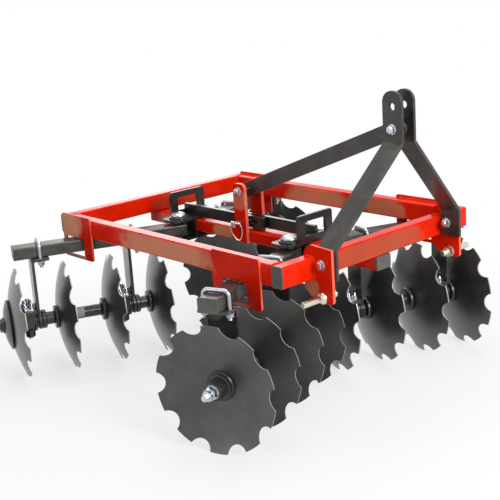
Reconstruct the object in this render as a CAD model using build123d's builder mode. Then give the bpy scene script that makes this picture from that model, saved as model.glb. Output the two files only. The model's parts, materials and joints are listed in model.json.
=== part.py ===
"""Mounted tandem disc harrow: box frame, mast, two sliding carriages and
four gangs of notched discs.

Millimetres. +X forward, +Y to the machine's left, +Z up. The ground is z = 0
and the origin lies under the middle of the whole machine.
Pieces of the right-hand side are built first and mirrored in XZ for the left.
"""

import os
from math import radians, sqrt, tan

from build123d import *

os.makedirs("parts", exist_ok=True)

# ---------------------------------------------------------------- discs
disc_dia = 460.0          # over the teeth
disc_thick = 4.0
disc_dish = 52.0          # depth of the spherical dish
disc_flat_r = 46.0        # flat centre that the spools clamp
notch_count = 10
notch_r = 40.0            # radius of each scallop
notch_depth = 30.0        # rim to the bottom of a scallop
discs_per_gang = 4
disc_pitch = 200.0
bar_square = 28.0         # square axle bar
bar_play = 0.6            # bar to square hole, across flats

# ---------------------------------------------------------------- frame
beam_h = 76.0             # box section of the frame, standing
beam_w = 51.0
beam_wall = 5.0
beam_corner = 7.0
frame_len = 1352.0        # outer faces of front and rear beams
frame_wid = 1000.0        # ends of front and rear beams
centre_w = 76.0           # centre beam, lying
centre_h = 51.0

# ---------------------------------------------------------------- gangs
gang_tube_w = 76.0        # lying section
gang_tube_h = 51.0
gang_tube_drop = 13.0     # underside of the side beams to tube top
tube_over_disc = 44.5     # disc rim to tube underside
front_angle = 20.2        # gang angle at rest, degrees
rear_angle = 22.7
pivot_y = 90.0            # pivot bolt from the centre line
pivot_r = 11.0
pivot_play = 0.6          # bolt to the hole in the tube
tube_inner_reach = 22.0   # tube past its pivot, towards the centre
inner_hub_f = -17.5       # innermost hub, outward of the pivot
inner_hub_r = 157.5
hub_from_end_f = -48.0    # outermost hub, outward of the tube end
hub_from_end_r = 49.0
hanger_edge = 6.0         # foot beyond the U-bolt's legs
hanger_t = 12.0
hanger_foot = 62.0
bearing_from_hub = 80.0
bearing_len = 62.0
bearing_r = 44.0
boss_r = 20.0             # boss under the bearing
boss_drop = 23.0
journal_play = 0.5
ubolt_r = 7.0
bumper_r = 105.0
bumper_rim = 4.0          # turned-in rim of the bumper washer
bumper_gap = 1.6          # rim to the dished disc

# ---------------------------------------------------------------- plates
plate_t = 8.0
corner_plate_up = 12.0    # above the beam top
corner_plate_under = 32.0  # below the gang tube
cut_top = 7.0             # below the beam underside
cut_lip = 12.0            # metal left under the opening
cut_room = 54.0           # opening beyond the gang tube's width
cut_rear_x = 103.0        # gang line at the plate, ahead of the frame's rear face
cut_front_back = 237.0    # gang line at the plate, behind the frame's front face
plate_legs_f = (50.0, 68.0)  # metal behind and ahead of the opening
plate_legs_r = (20.0, 60.0)

# ---------------------------------------------------------------- slides
carriage_len = 110.0
carriage_half = 146.0
carriage_t = 10.0
cheek_t = 8.0
slide_gap = 0.5           # running gap on the centre beam
handle_w = 186.0
handle_h = 104.0
handle_t = 12.0
handle_leg = 38.0
handle_bar = 26.0
handle_sill = 22.0
slide_bar_h = 48.0
slide_bar_t = 16.0
slide_bar_off = 14.0      # bar centre from the centre line
travel_in = 30.0          # carriage towards the tower
travel_out = 60.0         # carriage away from the tower
lock_r = 8.0
lock_play = 0.4
tower_x = 640.0           # from the frame's rear face
tower_len = 68.0
tower_t = 16.0
tower_up = 118.5          # above the beam top
tower_bolt_down = 32.0
bar_past_tower = 100.0

# ---------------------------------------------------------------- hitch
bracket_y = 348.0
bracket_t = 12.0
bracket_front = 82.0      # ahead of the front beam
bracket_up = 42.0
bracket_down = 154.0      # below the beam top
bracket_back = 48.0
bracket_heel = 42.0       # rear edge below the beam, up from the lower edge
pin_r = 11.0
pin_len = 100.0
pin_collar_r = 18.0
pin_collar_t = 12.0
pin_tail = 34.0
pin_down = 134.5          # below the beam top
pin_back = 44.0           # behind the bracket's front edge
mast_x = 92.0             # ears, ahead of the front beam
mast_foot_x = 50.0        # feet, ahead of the front beam: the mast leans forward
mast_w = 84.0
mast_t = 12.0
mast_gap = 52.0           # between the ears
mast_hole_up = 468.5      # top hole above the beam top
mast_hole_r = 12.85
mast_top = 54.0           # metal above the hole centre
mast_bend = 122.0         # hole down to the bend of the ear
mast_foot_up = 35.0       # lower bend above the beam top
mast_foot_down = 70.0     # end of the leg below the beam top
mast_bolt_down = 21.0
mast_bolt_x = 34.0        # foot bolt, ahead of the front beam
brace_w = 60.0
brace_t = 12.0
brace_drop = 77.0         # top hole down to the brace bolt
bolt_r = 9.5

# ---------------------------------------------------------------- levels
disc_r = disc_dia / 2
axle_z = disc_r
axle_drop = disc_r + tube_over_disc + gang_tube_h + gang_tube_drop + beam_h
beam_top = axle_z + axle_drop
beam_bot = beam_top - beam_h
centre_bot = beam_bot - centre_h
tube_top = beam_bot - gang_tube_drop
tube_bot = tube_top - gang_tube_h
slide_z = beam_bot + slide_gap  # underside of the carriage's top plate
bar_z = slide_z + carriage_t  # underside of the slide bars
pin_hole_z = bar_z + slide_bar_h / 2
side_y = frame_wid / 2    # outer face of the side beams
corner_plate_down = gang_tube_drop + gang_tube_h + corner_plate_under
cut_len = gang_tube_w + cut_room
hanger_w = gang_tube_w + 4 * ubolt_r + 2 * hanger_edge
journal_r = bar_square * 11 / 14  # clears the corners of the bar
gang_span = (discs_per_gang - 1) * disc_pitch
tube_end_f = inner_hub_f + gang_span - hub_from_end_f
tube_end_r = inner_hub_r + gang_span - hub_from_end_r

# x is measured here from the rear face of the rear beam
front_x = frame_len
cut_front_x = frame_len - cut_front_back
cross_y = side_y + plate_t / 2 - pivot_y  # pivot to corner plate
pivot_rear_x = cut_rear_x + cross_y * tan(radians(rear_angle))
pivot_front_x = cut_front_x - cross_y * tan(radians(front_angle))

pieces = {}


def keep(name, part):
    """Name a finished piece and put it on the list."""
    part.label = name
    pieces[name] = part


def mirrored(name, source):
    keep(name, mirror(pieces[source], about=Plane.XZ))


def box_tube(length, width, height, wall, corner):
    """Rectangular tube centred on the origin and running along X."""
    with BuildPart() as tube:
        with BuildSketch(Plane.YZ):
            RectangleRounded(width, height, corner)
            RectangleRounded(width - 2 * wall, height - 2 * wall,
                             max(corner - wall, 1.0), mode=Mode.SUBTRACT)
        extrude(amount=length / 2, both=True)
    return tube.part


# ================================================================ frame
cross = box_tube(frame_wid, beam_w, beam_h, beam_wall, beam_corner)
side = box_tube(frame_len - 2 * beam_w, beam_w, beam_h, beam_wall, beam_corner)
centre = box_tube(frame_len, centre_w, centre_h, beam_wall, beam_corner)
beam_mid = beam_top - beam_h / 2

keep("front_beam", cross.moved(Location((front_x - beam_w / 2, 0, beam_mid), (0, 0, 90))))
keep("rear_beam", cross.moved(Location((beam_w / 2, 0, beam_mid), (0, 0, 90))))
keep("side_beam_right", side.moved(Location((frame_len / 2, beam_w / 2 - side_y, beam_mid))))
mirrored("side_beam_left", "side_beam_right")
keep("centre_beam", centre.moved(Location((frame_len / 2, 0, beam_bot - centre_h / 2))))


# Corner plate: rounded plate on the side beam's outer face with a closed
# rectangular opening that the gang tube runs through.
def corner_plate(cut_x, legs):
    z_top = beam_top + corner_plate_up
    z_bot = beam_bot - corner_plate_down
    cut_hi = beam_bot - cut_top
    cut_lo = z_bot + cut_lip
    back, ahead = cut_x - cut_len / 2 - legs[0], cut_x + cut_len / 2 + legs[1]
    with BuildPart() as plate:
        with BuildSketch(Plane.XZ.offset(side_y)):
            with Locations(((back + ahead) / 2, (z_top + z_bot) / 2)):
                RectangleRounded(ahead - back, z_top - z_bot, 12)
            with Locations((cut_x, (cut_hi + cut_lo) / 2)):
                RectangleRounded(cut_len, cut_hi - cut_lo, 8, mode=Mode.SUBTRACT)
        extrude(amount=plate_t)
    return plate.part


keep("corner_plate_front_right", corner_plate(cut_front_x, plate_legs_f))
keep("corner_plate_rear_right", corner_plate(cut_rear_x, plate_legs_r))
mirrored("corner_plate_front_left", "corner_plate_front_right")
mirrored("corner_plate_rear_left", "corner_plate_rear_right")

# Tower: two plates on the centre beam's sides that guide the slide bars and
# carry the brace; the lock pin crosses both.
tower_top = beam_top + tower_up
with BuildPart() as tower:
    with BuildSketch(Plane.XZ.offset(centre_w / 2)):
        with Locations((tower_x, (tower_top + centre_bot) / 2)):
            Rectangle(tower_len, tower_top - centre_bot)
        fillet(vertices().group_by(Axis.Y)[-1], tower_len * 0.32)
        with Locations((tower_x, tower_top - tower_bolt_down)):
            Circle(bolt_r, mode=Mode.SUBTRACT)
        with Locations((tower_x, pin_hole_z)):
            Circle(lock_r + 0.3, mode=Mode.SUBTRACT)
    extrude(amount=tower_t)
    mirror(about=Plane.XZ)
keep("tower_plates", tower.part)

# ================================================================ hitch
bx = front_x
with BuildPart() as bracket:
    with BuildSketch(Plane.XZ.offset(bracket_y - bracket_t / 2)):
        with BuildLine():
            arc_end = (bx - 10, beam_top + bracket_up)
            RadiusArc((bx - bracket_back, beam_top), arc_end, 48)
            Polyline(arc_end,
                     (bx + bracket_front, beam_top + bracket_up - 6),
                     (bx + bracket_front, beam_top - bracket_down),
                     (bx - 2, beam_top - bracket_down + 4),
                     (bx - bracket_back, beam_top - bracket_down + bracket_heel),
                     (bx - bracket_back, beam_bot),
                     (bx, beam_bot), (bx, beam_top),
                     (bx - bracket_back, beam_top))
        make_face()
        low_front = vertices().sort_by_distance(
            Vertex(bx + bracket_front, beam_top - bracket_down))[0]
        fillet(low_front, 14)
        pin_x = bx + bracket_front - pin_back
        pin_z = beam_top - pin_down
        with Locations((bx + mast_bolt_x, beam_top - mast_bolt_down)):
            Circle(bolt_r, mode=Mode.SUBTRACT)
        with Locations((pin_x, pin_z)):
            Circle(pin_r + 0.3, mode=Mode.SUBTRACT)
    extrude(amount=bracket_t)
keep("hitch_bracket_right", bracket.part)
mirrored("hitch_bracket_left", "hitch_bracket_right")

with BuildPart() as pin:
    with BuildSketch(Plane.XZ.offset(bracket_y + bracket_t / 2)):
        with Locations((pin_x, pin_z)):
            Circle(pin_r)
    extrude(amount=pin_len)
    chamfer(faces().sort_by(Axis.Y)[0].edges(), 3)
    with BuildSketch(Plane.XZ.offset(bracket_y - bracket_t / 2 - pin_tail)):
        with Locations((pin_x, pin_z)):
            Circle(pin_r)
    extrude(amount=bracket_t + pin_tail)
    with BuildSketch(Plane.XZ.offset(bracket_y + bracket_t / 2)):
        with Locations((pin_x, pin_z)):
            Circle(pin_collar_r)
    extrude(amount=pin_collar_t)
    # hole for the linch pin near the free end
    with Locations(Location((pin_x, -(bracket_y + bracket_t / 2 + pin_len - 12), pin_z))):
        Cylinder(3.5, 2 * pin_r + 2, mode=Mode.SUBTRACT)
keep("lower_pin_right", pin.part)
mirrored("lower_pin_left", "lower_pin_right")

# Mast leg: one flat bar bent twice, ear at the top, foot inside the bracket.
hole_z = beam_top + mast_hole_up
ear_y = mast_gap / 2
foot_y = bracket_y - bracket_t / 2 - mast_t
bend_z = hole_z - mast_bend
foot_z = beam_top + mast_foot_up


def bar_profile(inner, thick):
    """Matching outer points for the inner points of a bent flat bar."""
    inner, outer = [Vector(*p) for p in inner], []
    for i, p in enumerate(inner):
        ahead = (inner[min(i + 1, len(inner) - 1)] - inner[min(i, len(inner) - 2)]).normalized()
        behind = (inner[max(i, 1)] - inner[max(i - 1, 0)]).normalized()
        n1, n2 = Vector(-ahead.Y, ahead.X), Vector(-behind.Y, behind.X)
        mid = (n1 + n2).normalized()
        outer.append(p + mid * (thick / mid.dot(n1)))
    return inner, outer


mast_cx = bx + mast_x
foot_cx = bx + mast_foot_x
with BuildPart() as leg:
    # (y, z) up the right leg's outer face, then x of each section
    stations = [(-foot_y - mast_t, beam_top - mast_foot_down), (-foot_y - mast_t, foot_z),
                (-ear_y - mast_t, bend_z), (-ear_y - mast_t, hole_z + mast_top)]
    faces_at = []
    for a, b, cx in zip(*bar_profile(stations, -mast_t), (foot_cx, foot_cx, mast_cx, mast_cx)):
        x0, x1 = cx - mast_w / 2, cx + mast_w / 2
        faces_at.append(Face(Wire.make_polygon(
            [(x0, a.X, a.Y), (x1, a.X, a.Y), (x1, b.X, b.Y), (x0, b.X, b.Y)], close=True)))
    loft(sections=faces_at, ruled=True)
    with BuildSketch(Plane.XZ.offset(ear_y - 1)):
        with Locations((mast_cx, hole_z)):
            Circle(mast_hole_r)
        with Locations((mast_cx, hole_z - brace_drop)):
            Circle(bolt_r)
    extrude(amount=mast_t + 2, mode=Mode.SUBTRACT)
    with BuildSketch(Plane.XZ.offset(foot_y - 1)):
        with Locations((bx + mast_bolt_x, beam_top - mast_bolt_down)):
            Circle(bolt_r)
    extrude(amount=mast_t + 2, mode=Mode.SUBTRACT)
    tops = leg.edges().filter_by(Axis.Y).sort_by(Axis.Z)[-2:]
    fillet(tops, mast_w / 2 - 2)
keep("mast_leg_right", leg.part)
mirrored("mast_leg_left", "mast_leg_right")

# Brace: flat bar on edge from between the ears down to the tower.
brace_a = Vector(mast_cx, hole_z - brace_drop)
brace_b = Vector(tower_x, tower_top - tower_bolt_down)
run = brace_a - brace_b
brace_len = run.length
with BuildPart() as brace:
    with BuildSketch(Plane.XZ.offset(-brace_t / 2)):
        with Locations(Location((brace_b.X, brace_b.Y), run.get_angle(Vector(1, 0)))):
            with Locations((brace_len / 2, 0)):
                SlotCenterToCenter(brace_len, brace_w)
            with Locations((0, 0), (brace_len, 0)):
                Circle(bolt_r, mode=Mode.SUBTRACT)
    extrude(amount=brace_t)
keep("mast_brace", brace.part)


# Through bolts with heads, one for each end of the brace and each mast foot.
def cross_bolt(x, z, y_from, y_to, r, head=9.0):
    """Bolt along Y with a hexagon head at each end, outside the faces given."""
    with BuildPart() as bolt:
        with BuildSketch(Plane.XZ.offset(-y_to - head)):
            with Locations((x, z)):
                Circle(r)
        extrude(amount=(y_to - y_from) + 2 * head)
        for y in (-y_to - head, -y_from):
            with BuildSketch(Plane.XZ.offset(y)):
                with Locations((x, z)):
                    RegularPolygon(r * 1.55, 6)
            extrude(amount=head)
    return bolt.part


with BuildPart() as frame_bolts:
    add(cross_bolt(*(brace_a.X, brace_a.Y), -ear_y - mast_t, ear_y + mast_t, bolt_r - 0.5))
    add(cross_bolt(*(brace_b.X, brace_b.Y), -centre_w / 2 - tower_t, centre_w / 2 + tower_t,
                   bolt_r - 0.5))
    foot_bolt = cross_bolt(bx + mast_bolt_x, beam_top - mast_bolt_down,
                           -bracket_y - bracket_t / 2, -foot_y, bolt_r - 0.5)
    add(foot_bolt)
    add(mirror(foot_bolt, about=Plane.XZ))
keep("brace_bolts", frame_bolts.part)

# Lock pin through the tower and both slide bars, with its ring.
with BuildPart() as lock:
    reach = centre_w / 2 + tower_t
    with BuildSketch(Plane.XZ.offset(-reach - 10)):
        with Locations((tower_x, pin_hole_z)):
            Circle(lock_r)
    extrude(amount=2 * reach + 30)
    with BuildSketch(Plane.XZ.offset(-reach - 16)):
        with Locations((tower_x, pin_hole_z)):
            Circle(lock_r + 8)
    extrude(amount=10)
keep("lock_pin", lock.part)


# ================================================================ slides
def carriage(pivot_x, outward):
    """Sleeve on the centre beam; outward is +1 at the front, -1 at the rear."""
    low_z = tube_bot - carriage_t - 8
    handle_x = pivot_x + outward * (carriage_len / 2 - handle_t / 2)
    with BuildPart() as body:
        for z in (slide_z, low_z):
            with BuildSketch(Plane.XY.offset(z)):
                with Locations((pivot_x, 0)):
                    RectangleRounded(carriage_len, 2 * carriage_half, 22)
            extrude(amount=carriage_t)
        cheek_y = centre_w / 2 + slide_gap + cheek_t / 2
        for s in (-1, 1):
            with Locations(Location((pivot_x, s * cheek_y, (low_z + slide_z) / 2 + carriage_t / 2))):
                Box(carriage_len, cheek_t, slide_z - low_z)
        # handle frame with its window
        with BuildSketch(Plane.YZ.offset(handle_x - handle_t / 2)):
            with Locations((0, bar_z)):
                Rectangle(handle_w, handle_h, align=(Align.CENTER, Align.MIN))
            fillet(vertices().group_by(Axis.Y)[-1], 12)
            with Locations((0, bar_z + handle_sill)):
                Rectangle(handle_w - 2 * handle_leg, handle_h - handle_sill - handle_bar,
                          align=(Align.CENTER, Align.MIN), mode=Mode.SUBTRACT)
        extrude(amount=handle_t)
        # pivot bolts: shank, washers above the top plate, nut below
        for s in (-1, 1):
            for r, z0, z1 in ((pivot_r, low_z - 17, bar_z + 24),
                              (42.0, bar_z, bar_z + 7),
                              (26.0, bar_z + 7, bar_z + 13),
                              (17.0, bar_z + 13, bar_z + 24),
                              (19.0, low_z - 14, low_z),
                              (20.0, tube_top + 0.5, slide_z),
                              (20.0, low_z + carriage_t, tube_bot - 0.5)):
                with BuildSketch(Plane.XY.offset(z0)):
                    with Locations((pivot_x, s * pivot_y)):
                        Circle(r)
                extrude(amount=z1 - z0)
    return body.part


def slide_bar(pivot_x, outward, side_sign):
    """Flat bar on edge from the handle, past the tower, slotted for the lock pin."""
    handle_face = pivot_x + outward * (carriage_len / 2 - handle_t)
    x0, x1 = sorted((handle_face, tower_x - outward * bar_past_tower))
    with BuildPart() as bar:
        with BuildSketch(Plane.XZ.offset(-side_sign * slide_bar_off - slide_bar_t / 2)):
            with Locations(((x0 + x1) / 2, bar_z + slide_bar_h / 2)):
                RectangleRounded(x1 - x0, slide_bar_h, 4)
            with Locations((tower_x + outward * (travel_in - travel_out) / 2, pin_hole_z)):
                SlotCenterToCenter(travel_in + travel_out + 2, 2 * (lock_r + lock_play),
                                   mode=Mode.SUBTRACT)
        extrude(amount=slide_bar_t)
    return bar.part


keep("front_carriage", carriage(pivot_front_x, 1))
keep("rear_carriage", carriage(pivot_rear_x, -1))
keep("front_slide_bar", slide_bar(pivot_front_x, 1, 1))
keep("rear_slide_bar", slide_bar(pivot_rear_x, -1, -1))

# ================================================================ gangs
# Gang frame: X outward along the gang from the pivot, Y forward, Z up.
notch_centre = disc_r - notch_depth + notch_r


def disc_shape(turn):
    """Dished, notched disc round X with its flat centre at x = 0, hollow to +X."""
    sag = disc_dish
    big = (disc_r ** 2 + sag ** 2) / (2 * sag)

    def x_at(r, radius):
        return big - sqrt(radius ** 2 - r ** 2)

    half = disc_thick / 2
    inner_r, outer_r = big - half, big + half
    r0 = disc_flat_r
    base = x_at(r0, big)
    with BuildPart() as disc:
        with BuildSketch(Plane.XY):
            with BuildLine():
                a = (base + half, r0)
                b = (x_at(disc_r, inner_r), disc_r)
                c = (x_at(disc_r, outer_r), disc_r)
                d = (base - half, r0)
                m = (disc_r + r0) / 2
                Line((base + half, 0), a)
                ThreePointArc(a, (x_at(m, inner_r), m), b)
                Line(b, c)
                ThreePointArc(c, (x_at(m, outer_r), m), d)
                Line(d, (base - half, 0))
                Line((base - half, 0), (base + half, 0))
            make_face()
        revolve(axis=Axis.X)
        with BuildSketch(Plane.YZ.offset(-2 * half)):
            with PolarLocations(notch_centre, notch_count, start_angle=turn):
                Circle(notch_r)
        extrude(amount=2 * disc_dish, mode=Mode.SUBTRACT)
        with BuildSketch(Plane.YZ.offset(-2 * half)):
            Rectangle(bar_square + bar_play, bar_square + bar_play)
        extrude(amount=2 * disc_dish, mode=Mode.SUBTRACT)
    return disc.part.moved(Location((-base, 0, 0)))


def dish_depth(r):
    """Depth of the dish at radius r, below the flat that the spools clamp."""
    big = (disc_r ** 2 + disc_dish ** 2) / (2 * disc_dish)
    return sqrt(big ** 2 - disc_flat_r ** 2) - sqrt(big ** 2 - r ** 2)


def spindle_shape(hubs, outward_hollow):
    """Axle bar with spools, collars and end pieces, fused; X is the gang axis."""
    half = disc_thick / 2
    sign = 1 if outward_hollow else -1
    rings = []                       # radius, from, to
    for k in range(discs_per_gang - 1):
        a, b = hubs[k] - half, hubs[k + 1] + half
        rings += [(46, a - 12, a), (46, b, b + 12)]
        if k % 2 == 0:               # bearing between these two
            m = hubs[k] - bearing_from_hub
            h = bearing_len / 2 + 2
            rings += [(27, m + h + 8, a), (35, m + h, m + h + 8), (journal_r, m - h, m + h),
                      (35, m - h - 8, m - h), (27, b, m - h - 8)]
        else:
            rings += [(25, b, a)]
    # flange, washers and nut at both ends
    for hub, out in ((hubs[0], 1), (hubs[-1], -1)):
        e = hub + out * half
        crowned = (out > 0) != outward_hollow
        ends = (((30, 0, 16), (33, 20, 28), (23, 28, 40), (13, 40, 46)) if crowned else
                ((41, 0, 10), (33, 10, 18), (23, 18, 36), (13, 36, 62)))
        for r, t0, t1 in ends:
            rings.append((r,) + tuple(sorted((e + out * t0, e + out * t1))))
    with BuildPart() as spin:
        with Locations(Location(((hubs[0] + hubs[-1]) / 2, 0, 0))):
            Box(hubs[0] - hubs[-1] + 40, bar_square, bar_square)
        for r, x0, x1 in rings:
            with BuildSketch(Plane.YZ.offset(x0)):
                Circle(r)
            extrude(amount=x1 - x0)
        # dished bumper washer, nested on the crowned end's disc
        crown = hubs[-1] if outward_hollow else hubs[0]
        out = -1 if outward_hollow else 1
        face = crown + out * half
        rim_r = bumper_r - bumper_rim
        nest = round(dish_depth(rim_r) - bumper_gap, 1)
        with BuildSketch(Plane.XY):
            with BuildLine():
                ThreePointArc((face + out * 22, 20), (face + out * 16, 66), (face + out, bumper_r))
                Line((face + out, bumper_r), (face - out * nest, rim_r))
                ThreePointArc((face - out * nest, rim_r), (face + out * 9, 64), (face + out * 14, 20))
                Line((face + out * 14, 20), (face + out * 22, 20))
            make_face()
        revolve(axis=Axis.X)
    return spin.part


def hanger_shape(bearing_x, side):
    """Flat bar bent to a foot under the tube and a foot on the bearing.

    side = +1 puts strap and upper foot outward of the bearing, -1 inward.
    """
    top, low, t = tube_bot, axle_z + bearing_r, hanger_t
    strap = bearing_x + side * (bearing_len / 2)     # strap face at the bearing
    back = strap + side * t
    foot = back + side * hanger_foot
    toe = bearing_x - side * (bearing_len / 2)
    with BuildPart() as hanger:
        with BuildSketch(Plane.XZ):
            with BuildLine():
                Polyline((foot, top), (strap, top), (strap, low + t), (toe, low + t),
                         (toe, low), (back, low), (back, top - t), (foot, top - t), close=True)
            make_face()
            for corner, size in (((strap, top), t + 5), ((back, low), t + 5),
                                 ((back, top - t), 5), ((strap, low + t), 5)):
                fillet(vertices().sort_by_distance(Vertex(*corner))[0], size)
        extrude(amount=hanger_w / 2, both=True)
        bolt_x = back + side * (hanger_foot / 2 - 2)
        with Locations(*[(bolt_x, s * (gang_tube_w / 2 + ubolt_r), top) for s in (-1, 1)]):
            Cylinder(ubolt_r + 0.5, 4 * t, mode=Mode.SUBTRACT)
    return hanger.part


def ubolt_shape(x):
    """U-bolt over the tube with nuts under the hanger's foot."""
    leg_y = gang_tube_w / 2 + ubolt_r
    rise = tube_top + ubolt_r
    bottom = tube_bot - hanger_t - 16
    with BuildPart() as bolt:
        with BuildLine():
            route = FilletPolyline((x, -leg_y, bottom), (x, -leg_y, rise), (x, leg_y, rise),
                                   (x, leg_y, bottom), radius=12)
        with BuildSketch(Plane((x, -leg_y, bottom), z_dir=(0, 0, 1))):
            Circle(ubolt_r)
        sweep(path=route)
        with BuildSketch(Plane.XY.offset(tube_bot - hanger_t - 10)):
            with Locations((x, -leg_y), (x, leg_y)):
                RegularPolygon(12, 6)
        extrude(amount=10)
    return bolt.part


def bearing_shape(x):
    """Cast housing: round barrel with a flat saddle on top and a round lower boss."""
    with BuildPart() as house:
        with BuildSketch(Plane.YZ.offset(x - bearing_len / 2)):
            with Locations((0, axle_z)):
                Circle(bearing_r)
                Rectangle(2 * bearing_r, bearing_r, align=(Align.CENTER, Align.MIN))
        extrude(amount=bearing_len)
        with BuildSketch(Plane.XY.offset(axle_z - bearing_r - boss_drop)):
            with Locations((x, 0)):
                Circle(boss_r)
        extrude(amount=bearing_r)
        with BuildSketch(Plane.YZ.offset(x - bearing_len / 2)):
            with Locations((0, axle_z)):
                Circle(journal_r + journal_play)
        extrude(amount=bearing_len, mode=Mode.SUBTRACT)
    return house.part


def build_gang(tag, angle, outward, pivot_x, tube_end, hub_from_end):
    """outward = +1 for a front gang (outer end forward), -1 for a rear one."""
    turn = Location((pivot_x, -pivot_y, 0), (0, 0, -90 + outward * angle))
    hub0 = tube_end + hub_from_end
    hubs = [hub0 - i * disc_pitch for i in range(discs_per_gang)]
    hollow_out = outward > 0

    # tube
    length = tube_end + tube_inner_reach
    with BuildPart() as tube:
        add(box_tube(length, gang_tube_w, gang_tube_h, beam_wall, beam_corner).moved(
            Location((tube_end - length / 2, 0, (tube_top + tube_bot) / 2))))
        with Locations((0, 0, (tube_top + tube_bot) / 2)):
            Cylinder(pivot_r + pivot_play, gang_tube_h + 10, mode=Mode.SUBTRACT)
    keep(f"gang_tube_{tag}_right", tube.part.moved(turn))

    # hangers, U-bolts and bearings at the first and third disc
    served = [hubs[k] - bearing_from_hub for k in range(0, discs_per_gang - 1, 2)]
    bolt_at = bearing_len / 2 + hanger_t + hanger_foot / 2 - 2
    with BuildPart() as hangers:
        for x in served:
            add(hanger_shape(x, outward))
    with BuildPart() as bolts:
        for x in served:
            add(ubolt_shape(x + outward * bolt_at))
    with BuildPart() as bearings:
        for x in served:
            add(bearing_shape(x))
    keep(f"hangers_{tag}_right", hangers.part.moved(turn))
    keep(f"u_bolts_{tag}_right", bolts.part.moved(turn))
    keep(f"bearings_{tag}_right", bearings.part.moved(turn))

    # turning parts
    axle = Location((0, 0, axle_z))
    keep(f"spindle_{tag}_right", spindle_shape(hubs, hollow_out).moved(axle).moved(turn))
    for k, hub in enumerate(hubs):
        phase = 90 + 180 / notch_count      # a tooth at the bottom
        disc = disc_shape(phase)
        place = Location((hub, 0, axle_z), (0, 0, 0 if hollow_out else 180))
        keep(f"disc_{tag}_right_{k + 1}", disc.moved(place).moved(turn))

    for label in ("gang_tube", "hangers", "u_bolts", "bearings", "spindle"):
        mirrored(f"{label}_{tag}_left", f"{label}_{tag}_right")
    for k in range(discs_per_gang):
        mirrored(f"disc_{tag}_left_{k + 1}", f"disc_{tag}_right_{k + 1}")


build_gang("front", front_angle, 1, pivot_front_x, tube_end_f, hub_from_end_f)
build_gang("rear", rear_angle, -1, pivot_rear_x, tube_end_r, hub_from_end_r)

# ================================================================ place and write
spans = [part.bounding_box() for part in pieces.values()]
low = [min(getattr(b.min, a) for b in spans) for a in "XYZ"]
high = [max(getattr(b.max, a) for b in spans) for a in "XYZ"]
shift_x = -(low[0] + high[0]) / 2
shift_y = -(low[1] + high[1]) / 2
shift_z = -low[2]
shift = Location((shift_x, shift_y, shift_z))
for name, part in pieces.items():
    placed = part.moved(shift)
    placed.label = name
    export_step(placed, f"parts/{name}.step")

print("shift", round(shift_x, 3), round(shift_y, 3), round(shift_z, 3))
print("size", [round(h - l, 2) for l, h in zip(low, high)])
print("pivot_front", round(pivot_front_x + shift_x, 3), "pivot_rear", round(pivot_rear_x + shift_x, 3))
print("top_link", round(mast_cx + shift_x, 3), round(hole_z + shift_z, 3))
print("lower_pin", round(pin_x + shift_x, 3), round(pin_z + shift_z, 3))
print("axle_z", round(axle_z + shift_z, 3), "nodes", len(pieces))
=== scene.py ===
"""Looks for a mounted disc harrow: finishes, end caps, welds, fasteners and stage.

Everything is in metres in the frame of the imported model: +X is forward and
the ground is z = 0. Sizes in millimetres carry the factor MM.
"""

import json
from math import cos, inf, pi, radians, sin, tan

import bmesh
import bpy
from mathutils import Matrix, Vector


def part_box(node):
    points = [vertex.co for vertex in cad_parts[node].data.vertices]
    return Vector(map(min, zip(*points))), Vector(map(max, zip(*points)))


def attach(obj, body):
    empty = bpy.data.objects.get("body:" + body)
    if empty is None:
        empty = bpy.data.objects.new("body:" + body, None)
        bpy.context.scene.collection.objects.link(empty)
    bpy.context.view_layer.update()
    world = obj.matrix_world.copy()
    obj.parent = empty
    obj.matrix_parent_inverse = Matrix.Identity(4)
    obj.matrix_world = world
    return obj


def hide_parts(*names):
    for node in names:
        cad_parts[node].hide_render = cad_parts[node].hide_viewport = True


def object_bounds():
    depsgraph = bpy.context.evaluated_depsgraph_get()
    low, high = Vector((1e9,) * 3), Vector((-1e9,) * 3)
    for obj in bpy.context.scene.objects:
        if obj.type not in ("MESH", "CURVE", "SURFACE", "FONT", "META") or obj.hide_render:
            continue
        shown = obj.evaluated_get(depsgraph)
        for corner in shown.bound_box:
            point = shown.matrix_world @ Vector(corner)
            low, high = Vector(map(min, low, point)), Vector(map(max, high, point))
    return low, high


bl_info = {
    "name": "Mounted disc harrow",
    "version": (1, 0, 0),
    "blender": (4, 5, 0),
    "location": "View3D > Sidebar > Harrow",
    "description": "Finishes, trim, fasteners and stage for a mounted disc harrow",
    "category": "Object",
}

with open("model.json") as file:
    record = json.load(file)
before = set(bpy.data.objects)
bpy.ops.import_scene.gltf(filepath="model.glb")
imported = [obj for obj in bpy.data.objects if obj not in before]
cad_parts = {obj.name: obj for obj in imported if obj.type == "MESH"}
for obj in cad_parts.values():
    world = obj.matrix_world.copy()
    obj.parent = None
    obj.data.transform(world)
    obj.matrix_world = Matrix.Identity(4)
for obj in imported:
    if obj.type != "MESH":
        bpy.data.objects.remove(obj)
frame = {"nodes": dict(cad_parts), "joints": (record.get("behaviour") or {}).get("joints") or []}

MM = 0.001
TAGS = ("front", "rear")
SIDES = ("right", "left")
GANGS = [f"{tag}_{side}" for tag in TAGS for side in SIDES]
CAD_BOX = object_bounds()
HALF_DISC = 2 * MM                # half the thickness of a disc
HANGER_FOOT = 12 * MM             # thickness of the hangers' feet
BEAM_CORNER = 7 * MM              # outer corner of the frame's box section
TUBE_CORNER = 6 * MM              # outer corner of the gang tubes
TUBE_CAP_OVER = 1.6 * MM          # lip of a gang tube's cap past the tube
BEARING_BORE = 22.5 * MM          # radius of the bearings' bore
AXLE_LONG = 62 * MM               # CAD axle beyond the end disc, on the hollow side
AXLE_SHORT = 18 * MM              # and on the crowned side
STUD_SPACING = (26 * MM, 60 * MM)                  # bearing studs along and across the gang
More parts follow.
